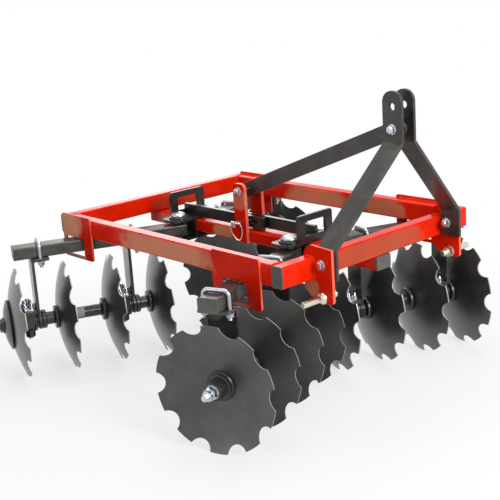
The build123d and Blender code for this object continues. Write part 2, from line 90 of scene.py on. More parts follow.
CLAMP_WIDE, CLAMP_DEEP, CLAMP_THICK = 46 * MM, 92 * MM, 5 * MM      # plate under their nuts
SPOOL_HIGHLIGHT_SIZE = (25.2 * MM, 25.9 * MM, -8 * MM, 52 * MM)     # radii and ends of the pale sheet that carries the painted highlight on the spools
UPRIGHT, FORWARD = (0, 0, 1), (1, 0, 0)

# painted reflection of the tan ground on the red frame: centre and reach in mm, and how much it
# covers
TAN_REFLECTION_PATCHES = (
    ((70, -500, 606), (290, 40, 90), 0.60),        # right side beam
    ((-590, -510, 625), (110, 30, 95), 0.72),      # rear right corner plate
    ((-530, -508, 478), (80, 30, 24), 0.60),       # foot of that plate
    ((460, -508, 478), (90, 30, 26), 0.55),        # foot of the front right plate
    ((-60, 449, 606), (220, 30, 60), 0.50),        # left side beam, inside
    ((340, 449, 606), (120, 30, 70), 0.40),
    ((-130, -38, 543), (70, 24, 45), 0.60),        # centre beam
    ((-480, -38, 543), (110, 24, 50), 0.66),
    ((690, -350, 540), (40, 20, 40), 0.50),        # right hitch bracket
    ((0, -54, 695), (50, 20, 45), 0.40),           # tower
    ((-640, 230, 606), (40, 230, 80), 0.50),       # rear beam, behind
    ((120, 500, 606), (320, 40, 80), 0.58),        # left side beam, outside
)
# the same for a darker painted reflection of the ground
DARK_REFLECTION_PATCHES = (
    ((712, -30, 600), (40, 270, 70), 0.52),        # front beam
    ((712, 60, 585), (40, 60, 50), 0.60),
    ((-588, 60, 600), (30, 120, 60), 0.30),        # rear beam, inside
)


# ------------------------------------------------------------------ colours
def linear(code):
    """sRGB hex code to a linear colour with alpha."""
    values = [int(code[i:i + 2], 16) / 255 for i in (0, 2, 4)]
    return [v / 12.92 if v <= 0.04045 else ((v + 0.055) / 1.055) ** 2.4 for v in values] + [1.0]


def colour(name, code, description):
    return bpy.props.FloatVectorProperty(
        name=name, description=description, subtype="COLOR", size=4,
        min=0.0, max=1.0, default=linear(code))


def length(name, mm, description):
    return bpy.props.FloatProperty(
        name=name, description=description, unit="LENGTH", min=0.0, default=mm * MM)


class HarrowColours(bpy.types.PropertyGroup):
    enamel: colour("Frame enamel", "CC2004", "Red enamel of the frame")
    enamel_deep: colour("Enamel, thick", "A81002", "Red enamel where the coat is thick")
    # sheared plate edges painted lighter: thin enamel and a painted highlight
    enamel_thin_and_highlight: colour("Enamel, thin", "E8806A", "Red enamel on sheared plate edges")
    # painted reflection of the tan ground, laid on the upright faces
    tan_reflection: colour("Dust", "BC9470", "Dry soil dust that lies on the enamel")
    # darker painted reflection of the ground, laid on the upright faces
    dark_reflection: colour("Soil", "7A5238", "Darker soil that clings to the enamel")
    satin_black: colour("Mast paint", "262422", "Satin black of mast and slides")
    slide_black: colour("Slide paint", "191716", "Black of slides, handles and carriages")
    gang_black: colour("Gang paint", "2C2A27", "Black of the gang tubes")
    strap: colour("Hanger paint", "2A2826", "Gloss black of the hangers")
    disc_face: colour("Disc face", "201F1E", "Lacquered face of the discs")
    disc_worn: colour("Disc, rubbed", "3C3B39", "Disc lacquer where it is rubbed")
    cut_edge: colour("Cut edge", "8C8984", "Sheared edge of the discs")
    cast: colour("Cast iron", "2A2927", "Black paint on spools and bearings")
    zinc: colour("Bright zinc", "CDD0D4", "Electroplated bolts and nuts")
    galvanised: colour("Galvanised", "A9AFB4", "Hot-dip galvanised U-bolts")
    pin_zinc: colour("Pin zinc", "DAD8C8", "Passivated hitch pins")
    plastic: colour("End caps", "4E4B48", "Moulded end caps")
    # painted highlight on the upper front of the middle spools
    paper: colour("Tag paper", "A8A7A2", "Plain weathered tag on the middle spools")
    floor: colour("Floor", "C4C4C1", "Floor of the stage")


class HarrowSizes(bpy.types.PropertyGroup):
    edge: length("Edge rounding", 1.2, "Rounding of sheared plate edges")
    bead: length("Weld bead", 5.5, "Radius of the weld beads")
    ripple: length("Weld ripple", 5.0, "Distance between two ripples of a weld")
    cap_lip: length("Cap lip", 3.0, "Thickness of the lip of an end cap")
    cap_over: length("Cap overhang", 0.6, "Lip standing past the tube's faces")
    rod: length("U-bolt rod", 16.0, "Rod diameter of the U-bolts")
    bend: length("U-bolt bend", 18.0, "Centre-line radius of the U-bolt bends")
    thread: length("Thread pitch", 3.0, "Thread pitch, drawn coarse")
    bolt: length("Bolt", 18.0, "Diameter of the frame bolts")
    washer: length("Washer", 3.0, "Thickness of the flat washers")
    ring_wire: length("Ring wire", 5.0, "Wire diameter of the lock pin's ring")
    stud: length("Bearing stud", 12.0, "Diameter of the bearing studs")


# ------------------------------------------------------------------ materials
def node(tree, kind, settings=None, links=None):
    """Add one node: settings are properties or socket values, links feed sockets."""
    made = tree.nodes.new(kind)
    for key, value in (settings or {}).items():
        if isinstance(key, str) and key not in made.inputs:
            setattr(made, key, value)
        else:
            made.inputs[key].default_value = value
    for key, source in (links or {}).items():
        tree.links.new(source, made.inputs[key])
    return made


def grain(size_mm):
    """Texture scale at which a feature is this many millimetres across."""
    return 1.0 / (size_mm * MM)


def grey(value):
    return (value, value, value, 1.0)


def new_finish(name):
    """Material with an empty node tree, and the sockets for place and normal."""
    finish = bpy.data.materials.new(name)
    finish.use_nodes = True
    tree = finish.node_tree
    tree.nodes.clear()
    place = node(tree, "ShaderNodeTexCoord")
    return finish, tree, place.outputs["Object"], place.outputs["Normal"]


def surface(tree, body, sheen, relief, settings):
    """Close a finish: colour, roughness and relief go into one opaque surface."""
    shader = node(tree, "ShaderNodeBsdfPrincipled", settings,
                  {"Base Color": body.outputs[2], "Roughness": sheen.outputs[0], "Normal": relief})
    node(tree, "ShaderNodeOutputMaterial", links={"Surface": shader.outputs[0]})


def skin(tree, spot, size_mm, detail, strength, depth_mm, roughness=0.5):
    """Relief of the outermost skin: fine bumps of the given width and depth."""
    bumps = node(tree, "ShaderNodeTexNoise",
                 {"Scale": grain(size_mm), "Detail": detail, "Roughness": roughness},
                 {"Vector": spot})
    return node(tree, "ShaderNodeBump", {"Strength": strength, "Distance": depth_mm * MM},
                {"Height": bumps.outputs["Fac"]}).outputs[0]


def painted_reflection_film(tree, spot, patches):
    """How much painted reflection covers each place: soft patches with torn borders."""
    torn = node(tree, "ShaderNodeTexNoise", {"Scale": grain(70), "Detail": 3.0}, {"Vector": spot})
    torn = node(tree, "ShaderNodeMath", {"operation": "MULTIPLY_ADD", 1: 0.9, 2: -0.45},
                {0: torn.outputs["Fac"]})
    film = None
    for centre, reach, share in patches:
        lying = node(tree, "ShaderNodeMapping",
                     {"vector_type": "TEXTURE", "Location": [v * MM for v in centre],
                      "Scale": [v * MM for v in reach]}, {"Vector": spot})
        away = node(tree, "ShaderNodeVectorMath", {"operation": "LENGTH"},
                    {0: lying.outputs[0]})
        away = node(tree, "ShaderNodeMath", {"operation": "ADD"},
                    {0: away.outputs["Value"], 1: torn.outputs[0]})
        patch = node(tree, "ShaderNodeMapRange",
                     {"From Min": 0.75, "From Max": 1.05, "To Min": share, "To Max": 0.0},
                     {"Value": away.outputs[0]})
        film = patch if film is None else node(
            tree, "ShaderNodeMath", {"operation": "MAXIMUM"},
            {0: film.outputs[0], 1: patch.outputs[0]})
    return film


def red_enamel(name, paint, level, thin_edge_and_highlight=0.0):
    """Gloss alkyd enamel sprayed over welded mild steel.

    A clear deep red with orange peel, thicker and darker in broad patches,
    with painted reflections of the tan and of the darker ground in a few places
    on the upright faces, and, when asked, sheared plate edges painted lighter
    for thin enamel and a painted highlight.
    """
    finish, tree, spot, normal = new_finish(name)
    broad = node(tree, "ShaderNodeTexNoise", {"Scale": grain(170), "Detail": 3.0}, {"Vector": spot})
    depth = node(tree, "ShaderNodeMapRange",
                 {"From Min": 0.38, "From Max": 0.68, "To Min": 0.0, "To Max": 0.8},
                 {"Value": broad.outputs["Fac"]})
    body = node(tree, "ShaderNodeMix", {"data_type": "RGBA", 6: paint.enamel, 7: paint.enamel_deep},
                {0: depth.outputs[0]})
    parts = node(tree, "ShaderNodeSeparateXYZ", links={0: normal})
    if thin_edge_and_highlight:
        # the plates stand fore and aft, so every other face is a sheared edge; these edges are
        # painted lighter, partly thin enamel and partly a painted highlight
        side = node(tree, "ShaderNodeMath", {"operation": "ABSOLUTE"}, {0: parts.outputs["Y"]})
        edge = node(tree, "ShaderNodeMapRange",
                    {"From Min": 0.3, "From Max": 0.7, "To Min": thin_edge_and_highlight, "To Max": 0.0},
                    {"Value": side.outputs[0]})
        body = node(tree, "ShaderNodeMix", {"data_type": "RGBA", 7: paint.enamel_thin_and_highlight},
                    {0: edge.outputs[0], 6: body.outputs[2]})
    # the painted reflections keep to upright faces: 1 where the normal is level
    upright = node(tree, "ShaderNodeMath", {"operation": "ABSOLUTE"}, {0: parts.outputs["Z"]})
    upright = node(tree, "ShaderNodeMapRange",
                   {"From Min": 0.2, "From Max": 0.5, "To Min": 1.0, "To Max": 0.0},
                   {"Value": upright.outputs[0]})
    # painted reflections: tan and darker ground colours laid over the enamel
    for patches, shade in ((TAN_REFLECTION_PATCHES, paint.tan_reflection), (DARK_REFLECTION_PATCHES, paint.dark_reflection)):
        film = painted_reflection_film(tree, spot, patches)
        film = node(tree, "ShaderNodeMath", {"operation": "MULTIPLY"},
                    {0: film.outputs[0], 1: upright.outputs[0]})
        body = node(tree, "ShaderNodeMix", {"data_type": "RGBA", 7: shade},
                    {0: film.outputs[0], 6: body.outputs[2]})
    sheen = node(tree, "ShaderNodeMapRange", {"To Min": 0.12, "To Max": 0.26},
                 {"Value": broad.outputs["Fac"]})
    # orange peel is about 2 mm in the real coat, drawn at 5 mm so that it shows
    peel = skin(tree, spot, 5, 2.0, 0.10, 0.4)
    surface(tree, body, sheen, peel, {"IOR": 1.48, "Specular IOR Level": level})
    return finish


def black_enamel(name, paint, base, rubbed, rough, streak_mm, streaks):
    """Satin black enamel sprayed on hot-rolled bar.

    Mill scale under the coat leaves a fine pebble and faint lengthwise streaks.
    """
    finish, tree, spot, _ = new_finish(name)
    cloud = node(tree, "ShaderNodeTexNoise", {"Scale": grain(90), "Detail": 5.0, "Roughness": 0.6},
                 {"Vector": spot})
    stretched = node(tree, "ShaderNodeMapping", {"Scale": (0.18, 0.18, 1.0)}, {"Vector": spot})
    streak = node(tree, "ShaderNodeTexNoise", {"Scale": grain(streak_mm), "Detail": 4.0},
                  {"Vector": stretched.outputs[0]})
    both = node(tree, "ShaderNodeMath", {"operation": "MULTIPLY_ADD", 1: streaks},
                {0: streak.outputs["Fac"], 2: cloud.outputs["Fac"]})
    rub = node(tree, "ShaderNodeMapRange",
               {"From Min": 0.45 + streaks * 0.4, "From Max": 0.8 + streaks * 0.6,
                "To Min": 0.0, "To Max": 0.75}, {"Value": both.outputs[0]})
    body = node(tree, "ShaderNodeMix",
                {"data_type": "RGBA", 6: getattr(paint, base), 7: linear(rubbed)},
                {0: rub.outputs[0]})
    sheen = node(tree, "ShaderNodeMapRange", {"To Min": rough - 0.08, "To Max": rough + 0.12},
                 {"Value": cloud.outputs["Fac"]})
    pebble = skin(tree, spot, 4, 3.0, 0.22, 0.5)
    surface(tree, body, sheen, pebble, {"IOR": 1.5})
    return finish


def disc_steel(name, paint, origin, axis):
    """Heat-treated boron steel under a thin dark lacquer.

    Soft sheen with faint turning rings round the hub, dry speckles, and a
    bright sheared edge. Origin and axis are the gang's spin axis.
    """
    finish, tree, spot, normal = new_finish(name)
    arm = node(tree, "ShaderNodeVectorMath", {"operation": "SUBTRACT", 1: origin}, {0: spot})
    cross = node(tree, "ShaderNodeVectorMath", {"operation": "CROSS_PRODUCT", 1: axis},
                 {0: arm.outputs[0]})
    radius = node(tree, "ShaderNodeVectorMath", {"operation": "LENGTH"}, {0: cross.outputs[0]})
    # rings: noise of the radius alone, 9 mm apart
    ring_spot = node(tree, "ShaderNodeCombineXYZ", links={"X": radius.outputs["Value"]})
    rings = node(tree, "ShaderNodeTexNoise", {"Scale": grain(9), "Detail": 2.0},
                 {"Vector": ring_spot.outputs[0]})
    cloud = node(tree, "ShaderNodeTexNoise", {"Scale": grain(75), "Detail": 5.0, "Roughness": 0.62},
                 {"Vector": spot})
    mixed = node(tree, "ShaderNodeMath", {"operation": "MULTIPLY_ADD", 1: 0.35},
                 {0: rings.outputs["Fac"], 2: cloud.outputs["Fac"]})
    rub = node(tree, "ShaderNodeMapRange",
               {"From Min": 0.55, "From Max": 0.92, "To Min": 0.0, "To Max": 0.8},
               {"Value": mixed.outputs[0]})
    body = node(tree, "ShaderNodeMix",
                {"data_type": "RGBA", 6: paint.disc_face, 7: paint.disc_worn}, {0: rub.outputs[0]})
    # speckles about 2 mm wide and 7 mm apart, in some of the clouds only
    speck = node(tree, "ShaderNodeTexVoronoi", {"Scale": grain(7), "Randomness": 1.0},
                 {"Vector": spot})
    dot = node(tree, "ShaderNodeMapRange",
               {"From Min": 0.08, "From Max": 0.20, "To Min": 0.28, "To Max": 0.0},
               {"Value": speck.outputs["Distance"]})
    sparse = node(tree, "ShaderNodeMapRange",
                  {"From Min": 0.5, "From Max": 0.62, "To Min": 0.0, "To Max": 1.0},
                  {"Value": cloud.outputs["Fac"]})
    dot = node(tree, "ShaderNodeMath", {"operation": "MULTIPLY"},
               {0: dot.outputs[0], 1: sparse.outputs[0]})
    # the sheared edge faces away from the axis
    lean = node(tree, "ShaderNodeVectorMath", {"operation": "DOT_PRODUCT", 1: axis}, {0: normal})
    lean = node(tree, "ShaderNodeMath", {"operation": "ABSOLUTE"}, {0: lean.outputs["Value"]})
    edge = node(tree, "ShaderNodeMapRange",
                {"From Min": 0.35, "From Max": 0.55, "To Min": 0.85, "To Max": 0.0},
                {"Value": lean.outputs[0]})
    for bare in (dot, edge):
        body = node(tree, "ShaderNodeMix", {"data_type": "RGBA", 7: paint.cut_edge},
                    {0: bare.outputs[0], 6: body.outputs[2]})
    sheen = node(tree, "ShaderNodeMapRange", {"To Min": 0.34, "To Max": 0.56},
                 {"Value": mixed.outputs[0]})
    scale = skin(tree, spot, 3, 3.0, 0.16, 0.4)
    surface(tree, body, sheen, scale,
            {"Metallic": 0.35, "Coat Weight": 1.0, "Coat Roughness": 0.32})
    return finish


def cast_iron(name, paint):
    """Grey cast iron in a thin black dip: sandy skin and uneven gloss."""
    finish, tree, spot, _ = new_finish(name)
    cloud = node(tree, "ShaderNodeTexNoise", {"Scale": grain(24), "Detail": 5.0}, {"Vector": spot})
    body = node(tree, "ShaderNodeMix", {"data_type": "RGBA", 6: paint.cast, 7: paint.gang_black},
                {0: cloud.outputs["Fac"]})
    sheen = node(tree, "ShaderNodeMapRange", {"To Min": 0.14, "To Max": 0.42},
                 {"Value": cloud.outputs["Fac"]})
    # moulding sand leaves pits of about 1 mm, drawn at 3 mm
    sand = skin(tree, spot, 3, 4.0, 0.25, 0.6, roughness=0.7)
    surface(tree, body, sheen, sand, {})
    return finish


def plated_steel(name, paint, base, rough, tint, tint_share, spangle_mm):
    """Zinc over steel: a bright metal whose patches differ a little in tone."""
    finish, tree, spot, _ = new_finish(name)
    cell = node(tree, "ShaderNodeTexVoronoi", {"Scale": grain(spangle_mm)}, {"Vector": spot})
    tone = node(tree, "ShaderNodeSeparateColor", links={0: cell.outputs["Color"]})
    share = node(tree, "ShaderNodeMath", {"operation": "MULTIPLY", 1: tint_share},
                 {0: tone.outputs[0]})
    body = node(tree, "ShaderNodeMix",
                {"data_type": "RGBA", 6: getattr(paint, base), 7: linear(tint)},
                {0: share.outputs[0]})
    cloud = node(tree, "ShaderNodeTexNoise", {"Scale": grain(6), "Detail": 3.0}, {"Vector": spot})
    sheen = node(tree, "ShaderNodeMapRange", {"To Min": rough - 0.08, "To Max": rough + 0.10},
                 {"Value": cloud.outputs["Fac"]})
    ripple = skin(tree, spot, 6, 3.0, 0.12, 0.3)
    surface(tree, body, sheen, ripple, {"Metallic": 1.0})
    return finish


def moulded_cap(name, paint):
    """Low-density polyethylene, injection moulded: waxy, with a fine spark grain."""
    finish, tree, spot, _ = new_finish(name)
    cloud = node(tree, "ShaderNodeTexNoise", {"Scale": grain(30), "Detail": 2.0}, {"Vector": spot})
    darker = [c * 0.62 for c in paint.plastic[:3]] + [1.0]
    body = node(tree, "ShaderNodeMix", {"data_type": "RGBA", 6: paint.plastic, 7: darker},
                {0: cloud.outputs["Fac"]})
    sheen = node(tree, "ShaderNodeMapRange", {"To Min": 0.38, "To Max": 0.55},
                 {"Value": cloud.outputs["Fac"]})
    spark = skin(tree, spot, 2, 1.0, 0.15, 0.3)
    surface(tree, body, sheen, spark, {"IOR": 1.51})
    return finish


def painted_spool_highlight(name, paint):
    """Painted highlight on the spools: a pale grey sheet, blotchy, without any print."""
    finish, tree, spot, _ = new_finish(name)
    blotch = node(tree, "ShaderNodeTexNoise", {"Scale": grain(18), "Detail": 3.0}, {"Vector": spot})
    darker = [c * 0.55 for c in paint.paper[:3]] + [1.0]
    body = node(tree, "ShaderNodeMix", {"data_type": "RGBA", 6: paint.paper, 7: darker},
                {0: blotch.outputs["Fac"]})
    shader = node(tree, "ShaderNodeBsdfPrincipled", {"Roughness": 0.75, "IOR": 1.45},
                  {"Base Color": body.outputs[2]})
    node(tree, "ShaderNodeOutputMaterial", links={"Surface": shader.outputs[0]})
    return finish


# kind: material name, its maker and what the maker takes after name and paint
FINISHES = {
    "red": ("gloss_enamel_on_box_section_red", red_enamel, 0.10),
    # plates: the last number is how much painted highlight and thin enamel the sheared edges get
    "plate": ("gloss_enamel_on_sheared_plate_red", red_enamel, 0.05, 0.5),
    "black": ("satin_enamel_on_hot_rolled_bar_black", black_enamel,
              "satin_black", "4A443E", 0.28, 30, 0.25),
    "slide": ("satin_enamel_on_flat_bar_black", black_enamel,
              "slide_black", "332F2C", 0.28, 30, 0.25),
    "gang": ("satin_enamel_on_box_section_charcoal", black_enamel,
             "gang_black", "56534C", 0.26, 12, 0.5),
    "strap": ("gloss_enamel_on_hot_rolled_flat_black", black_enamel,
              "strap", "4A4843", 0.20, 20, 0.4),
    "cast": ("painted_grey_cast_iron", cast_iron),
    # the pale sheet on the spools is a painted highlight
    "tag": ("matt_paper_weathered", painted_spool_highlight),
    "zinc": ("electroplated_zinc_bright", plated_steel, "zinc", 0.24, "A7B2C6", 0.5, 9),
    "galvanised": ("hot_dip_galvanised_steel", plated_steel,
                   "galvanised", 0.36, "9AA1A6", 0.6, 7),
    "yellow": ("yellow_passivated_zinc", plated_steel, "pin_zinc", 0.28, "C9BE98", 0.4, 8),
    "cap": ("moulded_polyethylene_grey", moulded_cap),
}


def finish_of(kind):
    """The finish of one kind, made on first use."""
    name, make, *rest = FINISHES[kind]
    made = bpy.data.materials.get(name)
    return made or make(name, bpy.context.scene.harrow_colours, *rest)


# ------------------------------------------------------------------ mesh making
def stack(bm, rings, loop=False):
    """Skin equal rings of points; loop joins the last to the first, else ends are closed."""
    rows = [[bm.verts.new(p) for p in ring] for ring in rings]
    pairs = list(zip(rows, rows[1:])) + ([(rows[-1], rows[0])] if loop else [])
    count = len(rows[0])
    for a, b in pairs:
        for i in range(count):
            j = (i + 1) % count
            bm.faces.new((a[i], a[j], b[j], b[i]))
    if not loop:
        bm.faces.new(rows[0][::-1])
        bm.faces.new(rows[-1])


def circle(radius, z, sides=32):
    return [Vector((radius * cos(t), radius * sin(t), z))
            for t in (2 * pi * i / sides for i in range(sides))]


def in_mm(*pairs):
    """(radius, z) pairs from millimetres to metres."""
    return [(r * MM, z * MM) for r, z in pairs]


def turned(bm, profile, sides=32):
    """Solid of revolution round Z from (radius, z) pairs."""
    stack(bm, [circle(r, z, sides) for r, z in profile])


def washer(bm, inner, outer, z0, z1, sides=32):
    soft = min(0.6 * MM, (z1 - z0) / 3)
    stack(bm, [circle(inner, z0, sides), circle(outer - soft, z0, sides),
               circle(outer, z0 + soft, sides), circle(outer, z1 - soft, sides),
               circle(outer - soft, z1, sides), circle(inner, z1, sides)], loop=True)


def hexagon(bm, flat, z0, z1, both=True):
    """Hexagon across-flats 2 * flat, chamfered by a cone at one end or both."""
    sides, chamfer = 72, flat * 0.97

    def ring(limit, z, sign):
        points = []
        for i in range(sides):
            t = 2 * pi * i / sides
            edge = flat / cos((t + pi / 6) % (pi / 3) - pi / 6)
            r = min(edge, limit) if limit else edge
            drop = 0.0 if limit else max(0.0, edge - chamfer) * tan(radians(30))
            points.append(Vector((r * cos(t), r * sin(t), z - sign * drop)))
        return points

    low = [ring(chamfer, z0, 0), ring(None, z0, -1)] if both else [ring(None, z0, 0)]
    stack(bm, low + [ring(None, z1, 1), ring(chamfer, z1, 0)])


def threaded(bm, radius, z0, z1, pitch):
    """Screw thread drawn as close rings, with a chamfered tip at z1."""
    rings, depth = [], pitch * 0.28
    turns = max(2, int(abs(z1 - z0) / pitch))
    step = (z1 - z0) / turns
    for i in range(turns):
        rings += [(radius - depth, z0 + i * step), (radius, z0 + (i + 0.5) * step)]
    rings += [(radius - depth, z1)]
    turned(bm, rings, 20)


def rounded(width, height, corner, z, steps=5):
    """Rounded rectangle in XY at height z."""
    points = []
    for cx, cy, start in ((1, 1, 0), (-1, 1, 90), (-1, -1, 180), (1, -1, 270)):
        for i in range(steps + 1):
            t = radians(start + 90 * i / steps)
            points.append(Vector((cx * (width / 2 - corner) + corner * cos(t),
                                  cy * (height / 2 - corner) + corner * sin(t), z)))
    return points


def swept(bm, path, radii, sides=14, closed=False):
    """Round bar along a path of points; radii is one number or one for each point."""
    path = [Vector(p) for p in path]
    count = len(path)
    if not isinstance(radii, (list, tuple)):
        radii = [radii] * count
    side = None
    rings = []
    for i, p in enumerate(path):
        if closed:
            way = path[(i + 1) % count] - path[i - 1]
        else:
            way = path[min(i + 1, count - 1)] - path[max(i - 1, 0)]
        way.normalize()
        if side is None:
            side = way.orthogonal().normalized()
        side = (side - way * side.dot(way)).normalized()
        other = way.cross(side)
        rings.append([p + radii[i] * (side * cos(t) + other * sin(t))
                      for t in (2 * pi * k / sides for k in range(sides))])
    stack(bm, rings, loop=closed)


def seat(origin, axis, up=UPRIGHT):
    """Matrix whose Z is the axis and whose X is as near to up as it can be."""
    z = Vector(axis).normalized()
    x = Vector(up) - z * Vector(up).dot(z)
    x = x.normalized() if x.length > 1e-6 else z.orthogonal().normalized()
    y = z.cross(x)
    return Matrix.Translation(Vector(origin)) @ Matrix((x, y, z)).transposed().to_4x4()


def join(bm, matrix, make, *sizes, **named):
    """Make a part in its own place, seat it by the matrix and add it to a mesh."""
    fresh = bmesh.new()
    make(fresh, *sizes, **named)
    fresh.transform(matrix)
    if matrix.determinant() < 0:
        bmesh.ops.reverse_faces(fresh, faces=fresh.faces)
    mesh = bpy.data.meshes.new("part")
    fresh.to_mesh(mesh)
    fresh.free()
    bm.from_mesh(mesh)
    bpy.data.meshes.remove(mesh)


class Builder:
    """Collects one piece: parts are made in their own place, then seated."""

    def __init__(self):
        self.bm = bmesh.new()

    def part(self, matrix, make, *sizes, **named):
        join(self.bm, matrix, make, *sizes, **named)

    def done(self, name, body, kind, slot, crease=38):
        bmesh.ops.recalc_face_normals(self.bm, faces=self.bm.faces)
        limit = radians(crease)
        for face in self.bm.faces:
            face.smooth = True
        for edge in self.bm.edges:
            if len(edge.link_faces) == 2 and edge.calc_face_angle() > limit:
                edge.smooth = False
        mesh = bpy.data.meshes.new(name)
        self.bm.to_mesh(mesh)
        self.bm.free()
        mesh.materials.append(finish_of(kind))
        piece = bpy.data.objects.new(name, mesh)
        bpy.context.scene.collection.objects.link(piece)
        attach(piece, body)
        return piece


# ------------------------------------------------------------------ measuring
def spans(name, axis, gap=20 * MM):
    """Lowest and highest reach of each separate lump of a node along an axis."""
    axis = Vector(axis)
    marks = sorted(axis.dot(v.co) for v in frame["nodes"][name].data.vertices)
    runs, start = [], marks[0]
    for a, b in zip(marks, marks[1:]):
        if b - a > gap:
            runs.append((start, a))
            start = b
    return runs + [(start, marks[-1])]


def extent(name, axis):
    """Lowest and highest reach of a whole node along an axis."""
    return spans(name, axis, gap=inf)[0]


def joint_of(name):
    return next(joint for joint in frame["joints"] if joint["name"] == name)


class Gang:
    """Directions and levels of one gang, measured from its joint and nodes."""

    def __init__(self, key):
        self.key = key
        self.body, self.discs = f"gang_{key}", f"discs_{key}"
        joint = joint_of(f"discs_{key}_spin")
        self.out = Vector(joint["axis"]).normalized()
        self.axle = Vector(joint["pos_m"])
        if self.out.y * self.axle.y < 0:
            self.out = -self.out
        self.ahead = self.out.cross(UPRIGHT)
        if self.ahead.x < 0:
            self.ahead = -self.ahead
        low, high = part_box(f"gang_tube_{key}")
        self.tube_low, self.tube_top = low.z, high.z
        self.hollow = 1 if key.startswith("front") else -1     # the side the dishes open to

    def at(self, u, v, z):
        """Point at u along the gang, v ahead of its line and height z."""
        base = self.axle - self.out * self.out.dot(self.axle)
        spot = base + self.out * u + self.ahead * v
        return Vector((spot.x, spot.y, z))

    def flats(self):
        """Where the spools clamp each disc: the middle of its flat centre, along the gang."""
        extents = [extent(name, self.out) for name in nodes_of(f"disc_{self.key}")]
        return sorted(a + HALF_DISC if self.hollow > 0 else b - HALF_DISC for a, b in extents)


def gangs():
    return [Gang(key) for key in GANGS]


# ------------------------------------------------------------------ finishes
def coat(names, kind, edge=0.0):
    """Give CAD nodes a finish, and round their sharp edges when asked."""
    for name in names:
        piece = frame["nodes"][name]
        piece.data.materials.clear()
        piece.data.materials.append(finish_of(kind) if isinstance(kind, str) else kind)
        if edge:
            merge = piece.modifiers.new("merge", "WELD")
            merge.merge_threshold = 0.02 * MM
            round_off = piece.modifiers.new("round", "BEVEL")
            round_off.width = edge
            round_off.segments = 2
            round_off.limit_method = "ANGLE"
            round_off.angle_limit = radians(50)
            round_off.harden_normals = True


def nodes_of(*starts):
    return [name for name in sorted(frame["nodes"]) if name.startswith(starts)]


class HARROW_OT_frame_enamel(bpy.types.Operator):
    """Spray the box frame, corner plates, tower and hitch brackets red"""
    bl_idname = "harrow.frame_enamel"
    bl_label = "Frame enamel"

    def execute(self, context):
        edge = context.scene.harrow_sizes.edge
        coat(nodes_of("front_beam", "rear_beam", "side_beam", "centre_beam"), "red")
        coat(nodes_of("corner_plate", "tower_plates", "hitch_bracket"), "plate", edge)
        return {"FINISHED"}


class HARROW_OT_black_enamel(bpy.types.Operator):
    """Spray the mast, brace, slides and carriages satin black"""
    bl_idname = "harrow.black_enamel"
    bl_label = "Mast and slide enamel"

    def execute(self, context):
        edge = context.scene.harrow_sizes.edge
        coat(nodes_of("mast_leg", "mast_brace"), "black", edge)
        coat(nodes_of("front_slide_bar", "rear_slide_bar", "front_carriage", "rear_carriage"),
             "slide", edge)
        return {"FINISHED"}


class HARROW_OT_gang_finish(bpy.types.Operator):
    """Finish gang tubes, hangers, bearings, spindles and discs"""
    bl_idname = "harrow.gang_finish"
    bl_label = "Gang finishes"

    def execute(self, context):
        edge = context.scene.harrow_sizes.edge
        coat(nodes_of("gang_tube"), "gang")
        coat(nodes_of("hangers"), "strap", edge)
        coat(nodes_of("bearings", "spindle"), "cast")
        for gang in gangs():
            finish = disc_steel(f"lacquered_boron_steel_{gang.key}",
                                context.scene.harrow_colours, gang.axle, gang.out)
            coat(nodes_of(f"disc_{gang.key}"), finish)
        return {"FINISHED"}


class HARROW_OT_pin_plating(bpy.types.Operator):
    """Plate the hitch pins and the lock pin"""
    bl_idname = "harrow.pin_plating"
    bl_label = "Pin plating"

    def execute(self, context):
        coat(nodes_of("lower_pin", "lock_pin"), "yellow")
        coat(nodes_of("brace_bolts", "u_bolts"), "galvanised")
        return {"FINISHED"}


# ------------------------------------------------------------------ end caps
def end_cap(bm, width, height, corner, lip, over):
    """Push-in tube cap, lip on z = 0 outward, gently crowned, with a rim step."""
    w, h, r = width + 2 * over, height + 2 * over, corner + over
    rings = [rounded(width - 12 * MM, height - 12 * MM, corner - 4 * MM, -14 * MM),
             rounded(width - 11 * MM, height - 11 * MM, corner - 4 * MM, -0.4 * MM),
             rounded(w, h, r, -0.4 * MM), rounded(w, h, r, lip * 0.55)]
    for inset, z in ((0.6, 0.80), (1.6, 0.95), (3.2, 1.0), (8.0, 1.0), (9.0, 0.86), (14.0, 0.90)):
        i = inset * MM
        rings.append(rounded(w - 2 * i, h - 2 * i, max(r - i, 1.0 * MM), lip * z))
    stack(bm, rings)


class HARROW_OT_end_caps(bpy.types.Operator):
    """Push moulded caps into the open ends of beams and gang tubes"""
    bl_idname = "harrow.end_caps"
    bl_label = "End caps"

    def execute(self, context):
        size = context.scene.harrow_sizes
        piece = Builder()
        for name, along in (("front_beam", 1), ("rear_beam", 1), ("centre_beam", 0)):
            low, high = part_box(name)
            tall, wide = high.z - low.z, (high - low)[1 - along]
            for end, way in ((low, -1), (high, 1)):
                place, face = (low + high) / 2, Vector()
                place[along], face[along] = end[along], way
                piece.part(seat(place, face), end_cap,
                           tall, wide, BEAM_CORNER, size.cap_lip, size.cap_over)
        piece.done("beam_end_caps", "frame", "cap", "cast_hubs")

        for gang in gangs():
            caps = Builder()
            outer = extent(f"gang_tube_{gang.key}", gang.out)[1]
            tall = gang.tube_top - gang.tube_low
            level = (gang.tube_top + gang.tube_low) / 2
            back, front = extent(f"gang_tube_{gang.key}", gang.ahead)
            caps.part(seat(gang.at(outer, 0, level), gang.out), end_cap,
                      tall, front - back, TUBE_CORNER, size.cap_lip, TUBE_CAP_OVER)
            caps.done(f"tube_cap_{gang.key}", gang.body, "cap", "cast_hubs")
        return {"FINISHED"}


